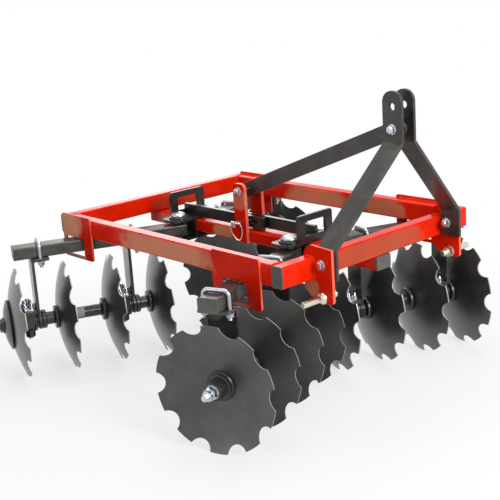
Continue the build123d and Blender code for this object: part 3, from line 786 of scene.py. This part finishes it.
# ------------------------------------------------------------------ welds
def weld_bead(bm, start, end, radius, ripple, phase=0.0):
    """Fillet bead with overlapping ripples and slightly wandering width."""
    start, end = Vector(start), Vector(end)
    run = (end - start).length
    steps = max(4, int(run / (ripple / 4)))
    path, radii = [], []
    for i in range(steps + 1):
        s = run * i / steps
        wave = abs(sin(pi * s / ripple + phase))
        drift = 0.10 * sin(s / (23 * MM) + phase * 3)
        taper = min(1.0, 0.45 + min(s, run - s) / (2.2 * radius))
        path.append(start.lerp(end, i / steps))
        radii.append(radius * taper * (0.84 + 0.16 * wave + drift))
    swept(bm, path, radii, sides=10)


class HARROW_OT_weld_beads(bpy.types.Operator):
    """Lay fillet welds where beams, plates, brackets and tower meet"""
    bl_idname = "harrow.weld_beads"
    bl_label = "Weld beads"

    def execute(self, context):
        size = context.scene.harrow_sizes
        bead, ripple = size.bead, size.ripple
        f_low, f_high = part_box("front_beam")
        r_low, r_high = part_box("rear_beam")
        c_low, c_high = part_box("centre_beam")
        top, bottom = f_high.z, f_low.z
        piece = Builder()

        def lay(*points, thick=1.0):
            for n, (a, b) in enumerate(zip(points, points[1:])):
                piece.part(Matrix.Identity(4), weld_bead, a, b, bead * thick, ripple, 0.7 * n)

        for side in SIDES:
            s_low, s_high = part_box(f"side_beam_{side}")
            inner, outer = (s_high.y, s_low.y) if side == "right" else (s_low.y, s_high.y)
            # side beams butted to the cross beams, inner corner and top and bottom
            for x in (s_low.x, s_high.x):
                lay((x, inner, bottom + 6 * MM), (x, inner, top - 6 * MM))
                for z in (top, bottom):
                    lay((x, inner, z), (x, outer, z), thick=0.75)
            for tag in TAGS:
                p_low, p_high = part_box(f"corner_plate_{tag}_{side}")
                face = p_high.y if side == "right" else p_low.y
                # plate edge down the side beam and along its underside
                for x in (p_low.x, p_high.x):
                    lay((x, face, bottom + 8 * MM), (x, face, top - 8 * MM), thick=0.8)
                x0, x1 = p_low.x + 14 * MM, p_high.x - 14 * MM
                lay((x0, face, top), (x1, face, top), thick=0.9)
            # hitch bracket on the front beam: both faces, over the top and down the front
            b_low, b_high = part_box(f"hitch_bracket_{side}")
            for y in (b_low.y, b_high.y):
                lay((f_low.x + 8 * MM, y, top), (f_high.x, y, top), (f_high.x, y, bottom),
                    thick=1.3)
            # centre beam under the cross beams
            y = c_low.y if side == "right" else c_high.y
            for low, high in ((f_low, f_high), (r_low, r_high)):
                x0, x1 = max(low.x, c_low.x) + 4 * MM, min(high.x, c_high.x) - 4 * MM
                lay((x0, y, bottom), (x1, y, bottom), thick=0.9)
            # tower plate edges on the centre beam
            t_low, t_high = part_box("tower_plates")
            for x in (t_low.x, t_high.x):
                lay((x, y, c_low.z + 6 * MM), (x, y, c_high.z - 4 * MM), thick=0.9)
        piece.done("weld_beads", "frame", "red", "frame_paint", crease=60)
        return {"FINISHED"}


# ------------------------------------------------------------------ fasteners
def bolt_head(bm, flat, height, washer_r, washer_t):
    """Hexagon head on its washer, standing on z = 0."""
    washer(bm, flat * 0.4, washer_r, 0.0, washer_t)
    hexagon(bm, flat, washer_t, washer_t + height, both=False)


def nut_and_tip(bm, flat, height, washer_r, washer_t, rod, tip, pitch):
    """Washer, nut and the threaded tip of the bolt, standing on z = 0."""
    washer(bm, flat * 0.4, washer_r, 0.0, washer_t)
    hexagon(bm, flat, washer_t, washer_t + height)
    threaded(bm, rod, washer_t + height * 0.5, washer_t + height + tip, pitch)


class HARROW_OT_frame_bolts(bpy.types.Operator):
    """Fit the bolts of the mast feet and of both ends of the brace"""
    bl_idname = "harrow.frame_bolts"
    bl_label = "Frame bolts"

    def execute(self, context):
        size = context.scene.harrow_sizes
        rod, thick, pitch = size.bolt / 2, size.washer, size.thread
        flat, head, nut = rod * 1.5, rod * 1.25, rod * 1.55
        piece = Builder()
        # every bolt stands where the CAD solid has it, its head on the outer side
        plain_head = 9 * MM                # thickness of the CAD's heads and nuts
        for x0, x1 in spans("brace_bolts", (1, 0, 0)):
            marks = [v.co for v in frame["nodes"]["brace_bolts"].data.vertices
                     if x0 - 1e-6 <= v.co.x <= x1 + 1e-6]
            x = (x0 + x1) / 2
            z = (min(m.z for m in marks) + max(m.z for m in marks)) / 2
            apart = min(abs(m.y) for m in marks) > 100 * MM     # one bolt on each side
            for way in ((-1, 1) if apart else (-1,)):
                along = [m.y for m in marks if m.y * way > 0 or not apart]
                a, b = min(along) + plain_head, max(along) - plain_head
                head_y, nut_y = (a, b) if way < 0 else (b, a)
                piece.part(seat((x, head_y, z), (0, way, 0), (0.4, 0, 1)), bolt_head,
                           flat, head, rod * 2.05, thick)
                piece.part(seat((x, nut_y, z), (0, -way, 0), (0.2, 0, 1)), nut_and_tip,
                           flat, nut, rod * 2.05, thick, rod, 8 * MM, pitch)
                piece.part(seat((x, a, z), (0, 1, 0)), turned, [(rod, 0.0), (rod, b - a)])
        made = piece.done("frame_bolts", "frame", "zinc", "zinc")
        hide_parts("brace_bolts")
        return {"FINISHED"}


def u_bolt(bm, half, rise, drop, rod, bend, pitch):
    """Bent rod over a tube: legs at y = +-half, top line at z = rise, ends at z = drop."""
    thread = 30 * MM
    path = [(0, -half, drop + thread)]
    for cy, start in ((-half + bend, 180), (half - bend, 90)):
        for i in range(9):
            t = radians(start - 90 * i / 8)
            path.append((0, cy + bend * cos(t), rise - bend + bend * sin(t)))
    path.append((0, half, drop + thread))
    swept(bm, path, rod, sides=18)
    for y in (-half, half):
        join(bm, Matrix.Translation((0, y, drop)) @ Matrix.Rotation(pi, 4, "X"),
             threaded, rod, -thread, 0.0, pitch)


class HARROW_OT_u_bolts(bpy.types.Operator):
    """Clamp each hanger to its gang tube with a galvanised U-bolt"""
    bl_idname = "harrow.u_bolts"
    bl_label = "U-bolts"

    def execute(self, context):
        size = context.scene.harrow_sizes
        rod, pitch = size.rod / 2, size.thread
        washer_top, nut_top = 2.5 * MM, 15 * MM
        for gang in gangs():
            source = f"u_bolts_{gang.key}"
            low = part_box(source)[0]
            back, front = extent(f"gang_tube_{gang.key}", gang.ahead)
            off = 3 * MM                       # the bend stands a little off the tube
            half = (front - back) / 2 + off + rod
            foot = gang.tube_low - HANGER_FOOT
            piece = Builder()
            for a, b in spans(source, gang.out):
                u = (a + b) / 2
                here = Matrix.Translation(gang.at(u, 0, 0)) @ Matrix(
                    (gang.out, gang.ahead, UPRIGHT)).transposed().to_4x4()
                piece.part(here, u_bolt, half, gang.tube_top + off + rod, low.z - 10 * MM,
                           rod, size.bend, pitch)
                for v in (-half, half):
                    under = seat(gang.at(u, v, foot), (0, 0, -1), gang.out)
                    piece.part(under, washer, rod * 0.9, rod * 2.0, 0.0, washer_top)
                    piece.part(under, hexagon, rod * 1.6, washer_top, nut_top)
            made = piece.done(f"u_bolt_set_{gang.key}", gang.body, "galvanised", "zinc")
            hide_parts(source)
        return {"FINISHED"}


def barrel(bm, radius, bore, length):
    """Bearing barrel along Z: two flanges, a waist and a recessed seal at each end."""
    half, seal, waist = length / 2, 30 * MM, radius - 7 * MM
    side = [(bore, 0.0), (seal, 0.0), (seal + 1 * MM, 2 * MM), (radius - 2 * MM, 2 * MM),
            (radius, 4 * MM), (radius, 11 * MM), (waist + 1 * MM, 14 * MM)]
    stack(bm, [circle(r, z, 48) for r, z in (
        *((r, z - half) for r, z in side), (waist, 0.0),
        *((r, half - z) for r, z in reversed(side)))], loop=True)


def block(bm, wide, deep, corner, z0, z1, soft):
    """Upright block with rounded corners and softened rims."""
    stack(bm, [rounded(wide - 2 * soft, deep - 2 * soft, corner - soft, z0),
               rounded(wide, deep, corner, z0 + soft), rounded(wide, deep, corner, z1 - soft),
               rounded(wide - 2 * soft, deep - 2 * soft, corner - soft, z1)])


def patch(bm, inner, outer, z0, z1, arc):
    """Thin curved plate over an arc of angles round Z."""
    stack(bm, [[Vector((r * cos(t), r * sin(t), z))
                for r, z in ((inner, z0), (outer, z0), (outer, z1), (inner, z1))]
               for t in arc])


class HARROW_OT_bearings(bpy.types.Operator):
    """Cast bearing housings: barrel, saddle, webs and lower boss"""
    bl_idname = "harrow.bearings"
    bl_label = "Bearing housings"

    def execute(self, context):
        for gang in gangs():
            source = f"bearings_{gang.key}"
            low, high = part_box(source)
            height, saddle = gang.axle.z, high.z
            radius = saddle - height
            piece = Builder()
            for a, b in spans(source, gang.out):
                u, long = (a + b) / 2, b - a
                piece.part(seat(gang.at(u, 0, height), gang.out), barrel,
                           radius, BEARING_BORE, long)
                over = seat(gang.at(u, 0, 0), UPRIGHT, gang.out)
                piece.part(over, block, long, 2 * radius, 8 * MM, saddle - 13 * MM, saddle,
                           1.5 * MM)
                # webs carry the saddle down to the barrel on both sides
                for v in (-1, 1):
                    piece.part(seat(gang.at(u, v * (radius - 9 * MM), 0), UPRIGHT, gang.out),
                               block, long - 16 * MM, 16 * MM, 5 * MM,
                               height - 4 * MM, saddle - 12 * MM, 1.5 * MM)
                piece.part(seat(gang.at(u, 0, low.z), UPRIGHT), turned,
                           in_mm((17, 0), (20, 2.5), (20, 19), (24, 28), (26, 34)), 40)
            made = piece.done(f"bearing_set_{gang.key}", gang.body, "cast", "cast_hubs")
            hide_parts(source)
        return {"FINISHED"}


class HARROW_OT_bearing_studs(bpy.types.Operator):
    """Bolt each bearing under its hanger: clamp plate, studs, nuts and grease post"""
    bl_idname = "harrow.bearing_studs"
    bl_label = "Bearing studs"

    def execute(self, context):
        size = context.scene.harrow_sizes
        rod, pitch = size.stud / 2, size.thread
        along, across = (v / 2 for v in STUD_SPACING)
        for gang in gangs():
            low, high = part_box(f"bearings_{gang.key}")
            foot = high.z + HANGER_FOOT
            level = foot + CLAMP_THICK
            piece = Builder()
            for a, b in spans(f"bearings_{gang.key}", gang.out):
                u = (a + b) / 2
                piece.part(seat(gang.at(u, 0, foot), UPRIGHT, gang.out), block,
                           CLAMP_WIDE, CLAMP_DEEP, 6 * MM, 0.0, CLAMP_THICK, 1.0 * MM)
                for v in (-across, across):
                    for end in (-along, along):
                        top = seat(gang.at(u + end, v, level), UPRIGHT, gang.ahead)
                        piece.part(top, nut_and_tip, rod * 1.45, 9 * MM, rod * 1.9, 2 * MM,
                                   rod, 12 * MM, pitch)
                # grease post over the hanger's foot, and the cap screw under the housing
                post = seat(gang.at(u, 0, level), UPRIGHT)
                piece.part(post, hexagon, 9 * MM, 0.0, 9 * MM)
                piece.part(post, turned,
                           in_mm((6, 9), (6, 26), (8, 27), (8, 35), (5, 38)), 20)
                piece.part(seat(gang.at(u, 0, low.z), (0, 0, -1)), bolt_head,
                           9 * MM, 6 * MM, 13 * MM, 2 * MM)
            piece.done(f"bearing_studs_{gang.key}", gang.body, "zinc", "zinc")
        return {"FINISHED"}


class HARROW_OT_axle_nuts(bpy.types.Operator):
    """Fit plated nuts and threaded tips at both ends of every disc axle"""
    bl_idname = "harrow.axle_nuts"
    bl_label = "Axle nuts"

    def execute(self, context):
        pitch = context.scene.harrow_sizes.thread
        bar, nut = 14.2 * MM, 24.5 * MM   # thread radius, and half the nut across its flats
        for gang in gangs():
            a, b = extent(f"spindle_{gang.key}", gang.out)
            height = gang.axle.z
            piece = Builder()
            castings = Builder()
            # the hollow side's end is long, the crowned side's end is short
            for u, way in ((b, 1), (a, -1)):
                face = gang.out * way
                if way != gang.hollow:
                    end = seat(gang.at(u - way * AXLE_SHORT, 0, height), face, (0.5, 0.1, 1))
                    castings.part(end, hexagon, nut, -0.5 * MM, 12 * MM)
                    castings.part(end, threaded, bar, 10 * MM, 19 * MM, pitch)
                    continue
                end = seat(gang.at(u - way * AXLE_LONG, 0, height), face, (0.3, 0.45, 1))
                if gang.hollow < 0:
                    piece.part(end, hexagon, nut, 36 * MM, 50 * MM)
                    piece.part(end, threaded, bar, 48 * MM, 63 * MM, pitch)
                    continue
                # from the disc outward: flange, ring, square block, nut, lock nut, tip
                castings.part(end, turned, in_mm((48, 0.2), (53, 2), (53, 7), (50, 10.6)), 48)
                castings.part(end, turned,
                              in_mm((43, 10), (44.5, 12), (44.5, 18), (42, 20)), 48)
                castings.part(end, block, 55 * MM, 55 * MM, 6 * MM, 19 * MM, 58 * MM, 1.8 * MM)
                piece.part(end, washer, 14 * MM, 25 * MM, 58 * MM, 62 * MM)
                piece.part(end, hexagon, 21 * MM, 62 * MM, 82 * MM)
                piece.part(end, turned,
                           in_mm((17.5, 82), (18.5, 83.5), (18.5, 98), (15.5, 101)), 32)
                piece.part(end, threaded, 12 * MM, 100 * MM, 116 * MM, pitch)
            piece.done(f"axle_nuts_{gang.key}", gang.discs, "zinc", "zinc")
            castings.done(f"axle_ends_{gang.key}", gang.discs, "cast", "cast_hubs")
        return {"FINISHED"}


class HARROW_OT_spool_rings(bpy.types.Operator):
    """Cast rings on the spools: rounded flanges by the discs, barrels by the bearings"""
    bl_idname = "harrow.spool_rings"
    bl_label = "Spool rings"

    def execute(self, context):
        for gang in gangs():
            height = gang.axle.z
            flats = gang.flats()
            piece = Builder()
            # rounded flange on both sides of each disc, but not outside the end discs
            for u in flats:
                for way in (-1, 1):
                    if u == flats[0 if way < 0 else -1]:
                        continue
                    end = seat(gang.at(u + way * HALF_DISC, 0, height), gang.out * way)
                    piece.part(end, turned, in_mm((46.2, 0.1), (48.5, 2), (48.5, 9),
                                                  (46.5, 12.6), (31, 14), (26, 19)), 48)
            for a, b in spans(f"bearings_{gang.key}", gang.out):
                for face, way in ((a, -1), (b, 1)):
                    room = min((u - face) * way for u in flats if (u - face) * way > 0)
                    end = seat(gang.at(face, 0, height), gang.out * way)
                    near, wide = 3 * MM, min(36 * MM, room / 2)
                    far = near + wide
                    piece.part(end, turned, [
                        (30 * MM, near), (37 * MM, near + 2 * MM), (40 * MM, near + 5 * MM),
                        (40 * MM, near + wide * 0.42), (36.5 * MM, near + wide * 0.5),
                        (40 * MM, near + wide * 0.58), (40 * MM, far - 4 * MM),
                        (36 * MM, far), (29 * MM, far + 1 * MM)], 48)
            piece.done(f"spool_rings_{gang.key}", gang.discs, "cast", "cast_hubs")
            # painted highlight: a pale sheet round the upper front third of the plain spool between
            # discs two and three
            tag = Builder()
            middle = seat(gang.at((flats[1] + flats[2]) / 2, 0, height), gang.out)
            sense = 1 if middle.col[1].xyz.dot(gang.ahead) > 0 else -1
            arc = [radians(sense * d) for d in range(0, 125, 5)]
            tag.part(middle, patch, *SPOOL_HIGHLIGHT_SIZE, arc)
            tag.done(f"spool_highlight_sheet_{gang.key}", gang.discs, "tag", "cast_hubs")
        return {"FINISHED"}


class HARROW_OT_pivot_heads(bpy.types.Operator):
    """Cap the gang pivots with cast washers, a plated domed head and a plated lower nut"""
    bl_idname = "harrow.pivot_heads"
    bl_label = "Pivot heads"

    def execute(self, context):
        pitch = context.scene.harrow_sizes.thread
        for tag in TAGS:
            body = f"{tag}_slide"
            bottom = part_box(f"{tag}_carriage")[0].z
            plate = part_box(f"{tag}_slide_bar")[0].z     # top of the carriage plate
            heads, piece = Builder(), Builder()
            for side in SIDES:
                x, y, _ = joint_of(f"gang_{tag}_{side}_swing")["pos_m"]
                here = seat((x, y, plate), UPRIGHT, FORWARD)
                heads.part(here, turned, in_mm((42.6, 0.2), (42.6, 6.4), (41, 7.8),
                                               (36, 8), (35.4, 12), (34, 13)), 48)
                # low dome on its washer; its pole is a small circle, not a point
                dome = [(33 * cos(radians(d)), 13 + 14 * sin(radians(d))) for d in range(0, 90, 10)]
                piece.part(here, turned, in_mm((33, 11), *dome, (0.05, 27)), 40)
                under = seat((x, y, bottom), (0, 0, -1), FORWARD)
                piece.part(under, hexagon, 19.6 * MM, -18 * MM, -2.6 * MM)
                piece.part(under, threaded, 11.6 * MM, -4 * MM, 4 * MM, pitch)
            heads.done(f"pivot_heads_{tag}", body, "cast", "cast_hubs")
            piece.done(f"pivot_nuts_{tag}", body, "galvanised", "zinc")
        return {"FINISHED"}


class HARROW_OT_pin_hardware(bpy.types.Operator):
    """Nuts behind the hitch pins, and the linch ring of the lock pin"""
    bl_idname = "harrow.pin_hardware"
    bl_label = "Pin hardware"

    def execute(self, context):
        size = context.scene.harrow_sizes
        piece = Builder()
        for side, way in zip(SIDES, (-1, 1)):
            p_low, p_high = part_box(f"lower_pin_{side}")
            b_low, b_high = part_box(f"hitch_bracket_{side}")
            x, z = (p_low.x + p_high.x) / 2, (p_low.z + p_high.z) / 2
            outer, inner = (b_low.y, b_high.y) if way < 0 else (b_high.y, b_low.y)
            behind = seat((x, inner, z), (0, -way, 0), (0.3, 0, 1))
            piece.part(behind, washer, 10 * MM, 21 * MM, 0.0, size.washer)
            piece.part(behind, hexagon, 17 * MM, size.washer, size.washer + 19 * MM)
            piece.part(behind, threaded, 11.4 * MM, size.washer + 17 * MM, 46 * MM, size.thread)
            collar = seat((x, outer, z), (0, way, 0))
            piece.part(collar, turned,
                       in_mm((20, 0.1), (21, 1.5), (21, 8), (18, 13), (13, 17), (11.2, 19)))
        piece.done("hitch_pin_nuts", "frame", "yellow", "hitch_zinc")

        low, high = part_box("lock_pin")
        x, z = (low.x + high.x) / 2, (low.z + high.z) / 2
        wire = size.ring_wire / 2
        ring = Builder()
        # head, cross bar and pear-shaped loop that hangs beside the tower
        face = low.y + 16 * MM
        ring.part(seat((x, face, z), (0, -1, 0)), turned,
                  in_mm((8.2, 0), (8.2, 30), (11, 30.5), (11, 37), (9, 39)), 24)
        bar_y = face - 24 * MM
        ring.part(seat((x - 24 * MM, bar_y, z + 3 * MM), (1, 0.15, -0.05)), turned,
                  in_mm((3.4, 0), (4.4, 1), (4.4, 47), (3.4, 48)), 20)
        pear = []
        for i in range(40):
            t = 2 * pi * i / 40
            drop = (1 - cos(t)) / 2
            wide = 25 * sin(t) * (1.12 - 0.45 * drop)
            pear.append((x + (wide * 0.8 + 3 * drop) * MM, bar_y + (wide * 0.6 + 12 * drop) * MM,
                         z + (6 - 78 * drop) * MM))
        ring.part(Matrix.Identity(4), swept, pear, wire, sides=12, closed=True)
        ring.done("lock_pin_ring", "frame", "yellow", "hitch_zinc")
        return {"FINISHED"}


# ------------------------------------------------------------------ stage
# camera in the frame of the model: place in metres, angles in degrees, lens in mm
CAMERA_AT = (2.92989, -2.56365, 1.54939)
CAMERA_AZIMUTH = -42.39       # from +X to the line from model to camera
CAMERA_RISE = 13.77
CAMERA_ROLL = -3.56
CAMERA_LENS = 70.10064
CAMERA_SENSOR = 36.0
CAMERA_SHIFT = (-0.04, -0.06)

# soft lamps aimed at the middle of the machine: place and size in metres, and watts
LAMPS = {
    "key": ((4.3, -0.4, 2.6), 2.2, 230),
    "fill": ((-1.0, -4.6, 2.2), 3.0, 45),
    "overhead": ((-0.3, 0.6, 4.6), 3.8, 150),
    "back": ((-3.8, 2.6, 2.6), 2.6, 60),
}
SURROUND_LEVEL = 0.42         # light of the white surround on the machine
FLOOR_RADIUS = 30.0
FLOOR_DROP = 0.5 * MM         # the floor lies this far under the discs


def soft_light(name, place, target, size, watts):
    lamp = bpy.data.lights.new(name, "AREA")
    lamp.shape, lamp.size, lamp.energy = "DISK", size, watts
    holder = bpy.data.objects.new(name, lamp)
    bpy.context.scene.collection.objects.link(holder)
    holder.location = place
    holder.rotation_mode = "QUATERNION"
    holder.rotation_quaternion = (Vector(target) - Vector(place)).to_track_quat("-Z", "Y")


def plain_view(tree):
    """Socket that is 1 for camera, glossy and transmitted rays: they see the plain white."""
    seen = node(tree, "ShaderNodeLightPath")
    either = node(tree, "ShaderNodeMath", {"operation": "MAXIMUM"},
                  {0: seen.outputs["Is Camera Ray"], 1: seen.outputs["Is Glossy Ray"]})
    return node(tree, "ShaderNodeMath", {"operation": "MAXIMUM"},
                {0: either.outputs[0], 1: seen.outputs["Is Transmission Ray"]}).outputs[0]


class HARROW_OT_stage(bpy.types.Operator):
    """Pale floor, white surround, soft studio light and camera"""
    bl_idname = "harrow.stage"
    bl_label = "Stage"

    def execute(self, context):
        scene = context.scene
        scene.view_settings.view_transform = "Standard"
        self.make_floor(scene.harrow_colours.floor)
        self.make_surround(scene)
        centre = (CAD_BOX[0] + CAD_BOX[1]) / 2
        for name, (place, size, watts) in LAMPS.items():
            soft_light(name, place, centre, size, watts)
        self.make_camera(scene)
        return {"FINISHED"}

    def make_floor(self, base):
        bm = bmesh.new()
        bmesh.ops.create_circle(bm, cap_ends=True, segments=96, radius=FLOOR_RADIUS)
        mesh = bpy.data.meshes.new("floor")
        bm.to_mesh(mesh)
        bm.free()
        floor = bpy.data.objects.new("floor", mesh)
        bpy.context.scene.collection.objects.link(floor)
        floor.location.z = -FLOOR_DROP
        finish, tree, spot, _ = new_finish("smooth_painted_board")
        lit = node(tree, "ShaderNodeBsdfDiffuse", {"Color": base})
        white = node(tree, "ShaderNodeEmission", {"Color": grey(1.0), "Strength": 1.0})
        # the shadow shows near the machine; further out the floor turns white
        away = node(tree, "ShaderNodeVectorMath", {"operation": "LENGTH"}, {0: spot})
        clean = node(tree, "ShaderNodeMapRange",
                     {"interpolation_type": "SMOOTHSTEP", "From Min": 0.9, "From Max": 2.0,
                      "To Min": 0.72, "To Max": 1.0}, {"Value": away.outputs["Value"]})
        share = node(tree, "ShaderNodeMath", {"operation": "MULTIPLY"},
                     {0: plain_view(tree), 1: clean.outputs[0]})
        mixed = node(tree, "ShaderNodeMixShader",
                     links={0: share.outputs[0], 1: lit.outputs[0], 2: white.outputs[0]})
        node(tree, "ShaderNodeOutputMaterial", links={"Surface": mixed.outputs[0]})
        mesh.materials.append(finish)

    def make_surround(self, scene):
        world = bpy.data.worlds.new("surround")
        scene.world = world
        world.use_nodes = True
        tree = world.node_tree
        tree.nodes.clear()
        white = node(tree, "ShaderNodeBackground", {"Color": grey(1.0), "Strength": 1.0})
        soft = node(tree, "ShaderNodeBackground", {"Color": grey(1.0), "Strength": SURROUND_LEVEL})
        mixed = node(tree, "ShaderNodeMixShader",
                     links={0: plain_view(tree), 1: soft.outputs[0], 2: white.outputs[0]})
        node(tree, "ShaderNodeOutputWorld", links={"Surface": mixed.outputs[0]})

    def make_camera(self, scene):
        a, e, roll = map(radians, (CAMERA_AZIMUTH, CAMERA_RISE, CAMERA_ROLL))
        back = Vector((cos(a) * cos(e), sin(a) * cos(e), sin(e)))
        right = Vector((-sin(a), cos(a), 0))
        up = back.cross(right)
        right, up = (cos(roll) * right + sin(roll) * up, -sin(roll) * right + cos(roll) * up)
        lens = bpy.data.cameras.new("camera")
        lens.sensor_width = CAMERA_SENSOR
        lens.lens = CAMERA_LENS
        lens.shift_x, lens.shift_y = CAMERA_SHIFT
        lens.clip_start, lens.clip_end = 0.05, 100.0
        camera = bpy.data.objects.new("camera", lens)
        scene.collection.objects.link(camera)
        camera.matrix_world = (Matrix.Translation(CAMERA_AT)
                               @ Matrix((right, up, back)).transposed().to_4x4())
        scene.camera = camera


# ------------------------------------------------------------------ panel
class HARROW_PT_panel(bpy.types.Panel):
    """Sizes, colours and builders of the harrow"""
    bl_idname = "HARROW_PT_panel"
    bl_label = "Disc harrow"
    bl_space_type = "VIEW_3D"
    bl_region_type = "UI"
    bl_category = "Harrow"

    def draw(self, context):
        column = self.layout.column(align=True)
        for operator in OPERATORS:
            column.operator(operator.bl_idname)
        for group in (context.scene.harrow_sizes, context.scene.harrow_colours):
            box = self.layout.box()
            for name in group.__annotations__:
                box.prop(group, name)


OPERATORS = (
    HARROW_OT_frame_enamel, HARROW_OT_black_enamel, HARROW_OT_gang_finish,
    HARROW_OT_pin_plating, HARROW_OT_end_caps, HARROW_OT_weld_beads,
    HARROW_OT_frame_bolts, HARROW_OT_u_bolts, HARROW_OT_bearings, HARROW_OT_bearing_studs,
    HARROW_OT_axle_nuts, HARROW_OT_spool_rings, HARROW_OT_pivot_heads, HARROW_OT_pin_hardware,
    HARROW_OT_stage,
)
CLASSES = (HarrowColours, HarrowSizes, *OPERATORS, HARROW_PT_panel)


def register():
    for item in CLASSES:
        bpy.utils.register_class(item)
    bpy.types.Scene.harrow_colours = bpy.props.PointerProperty(type=HarrowColours)
    bpy.types.Scene.harrow_sizes = bpy.props.PointerProperty(type=HarrowSizes)


def unregister():
    del bpy.types.Scene.harrow_sizes
    del bpy.types.Scene.harrow_colours
    for item in reversed(CLASSES):
        bpy.utils.unregister_class(item)


def main():
    register()
    for operator in OPERATORS:
        space, name = operator.bl_idname.split(".")
        getattr(getattr(bpy.ops, space), name)()


if __name__ == "__main__":
    main()
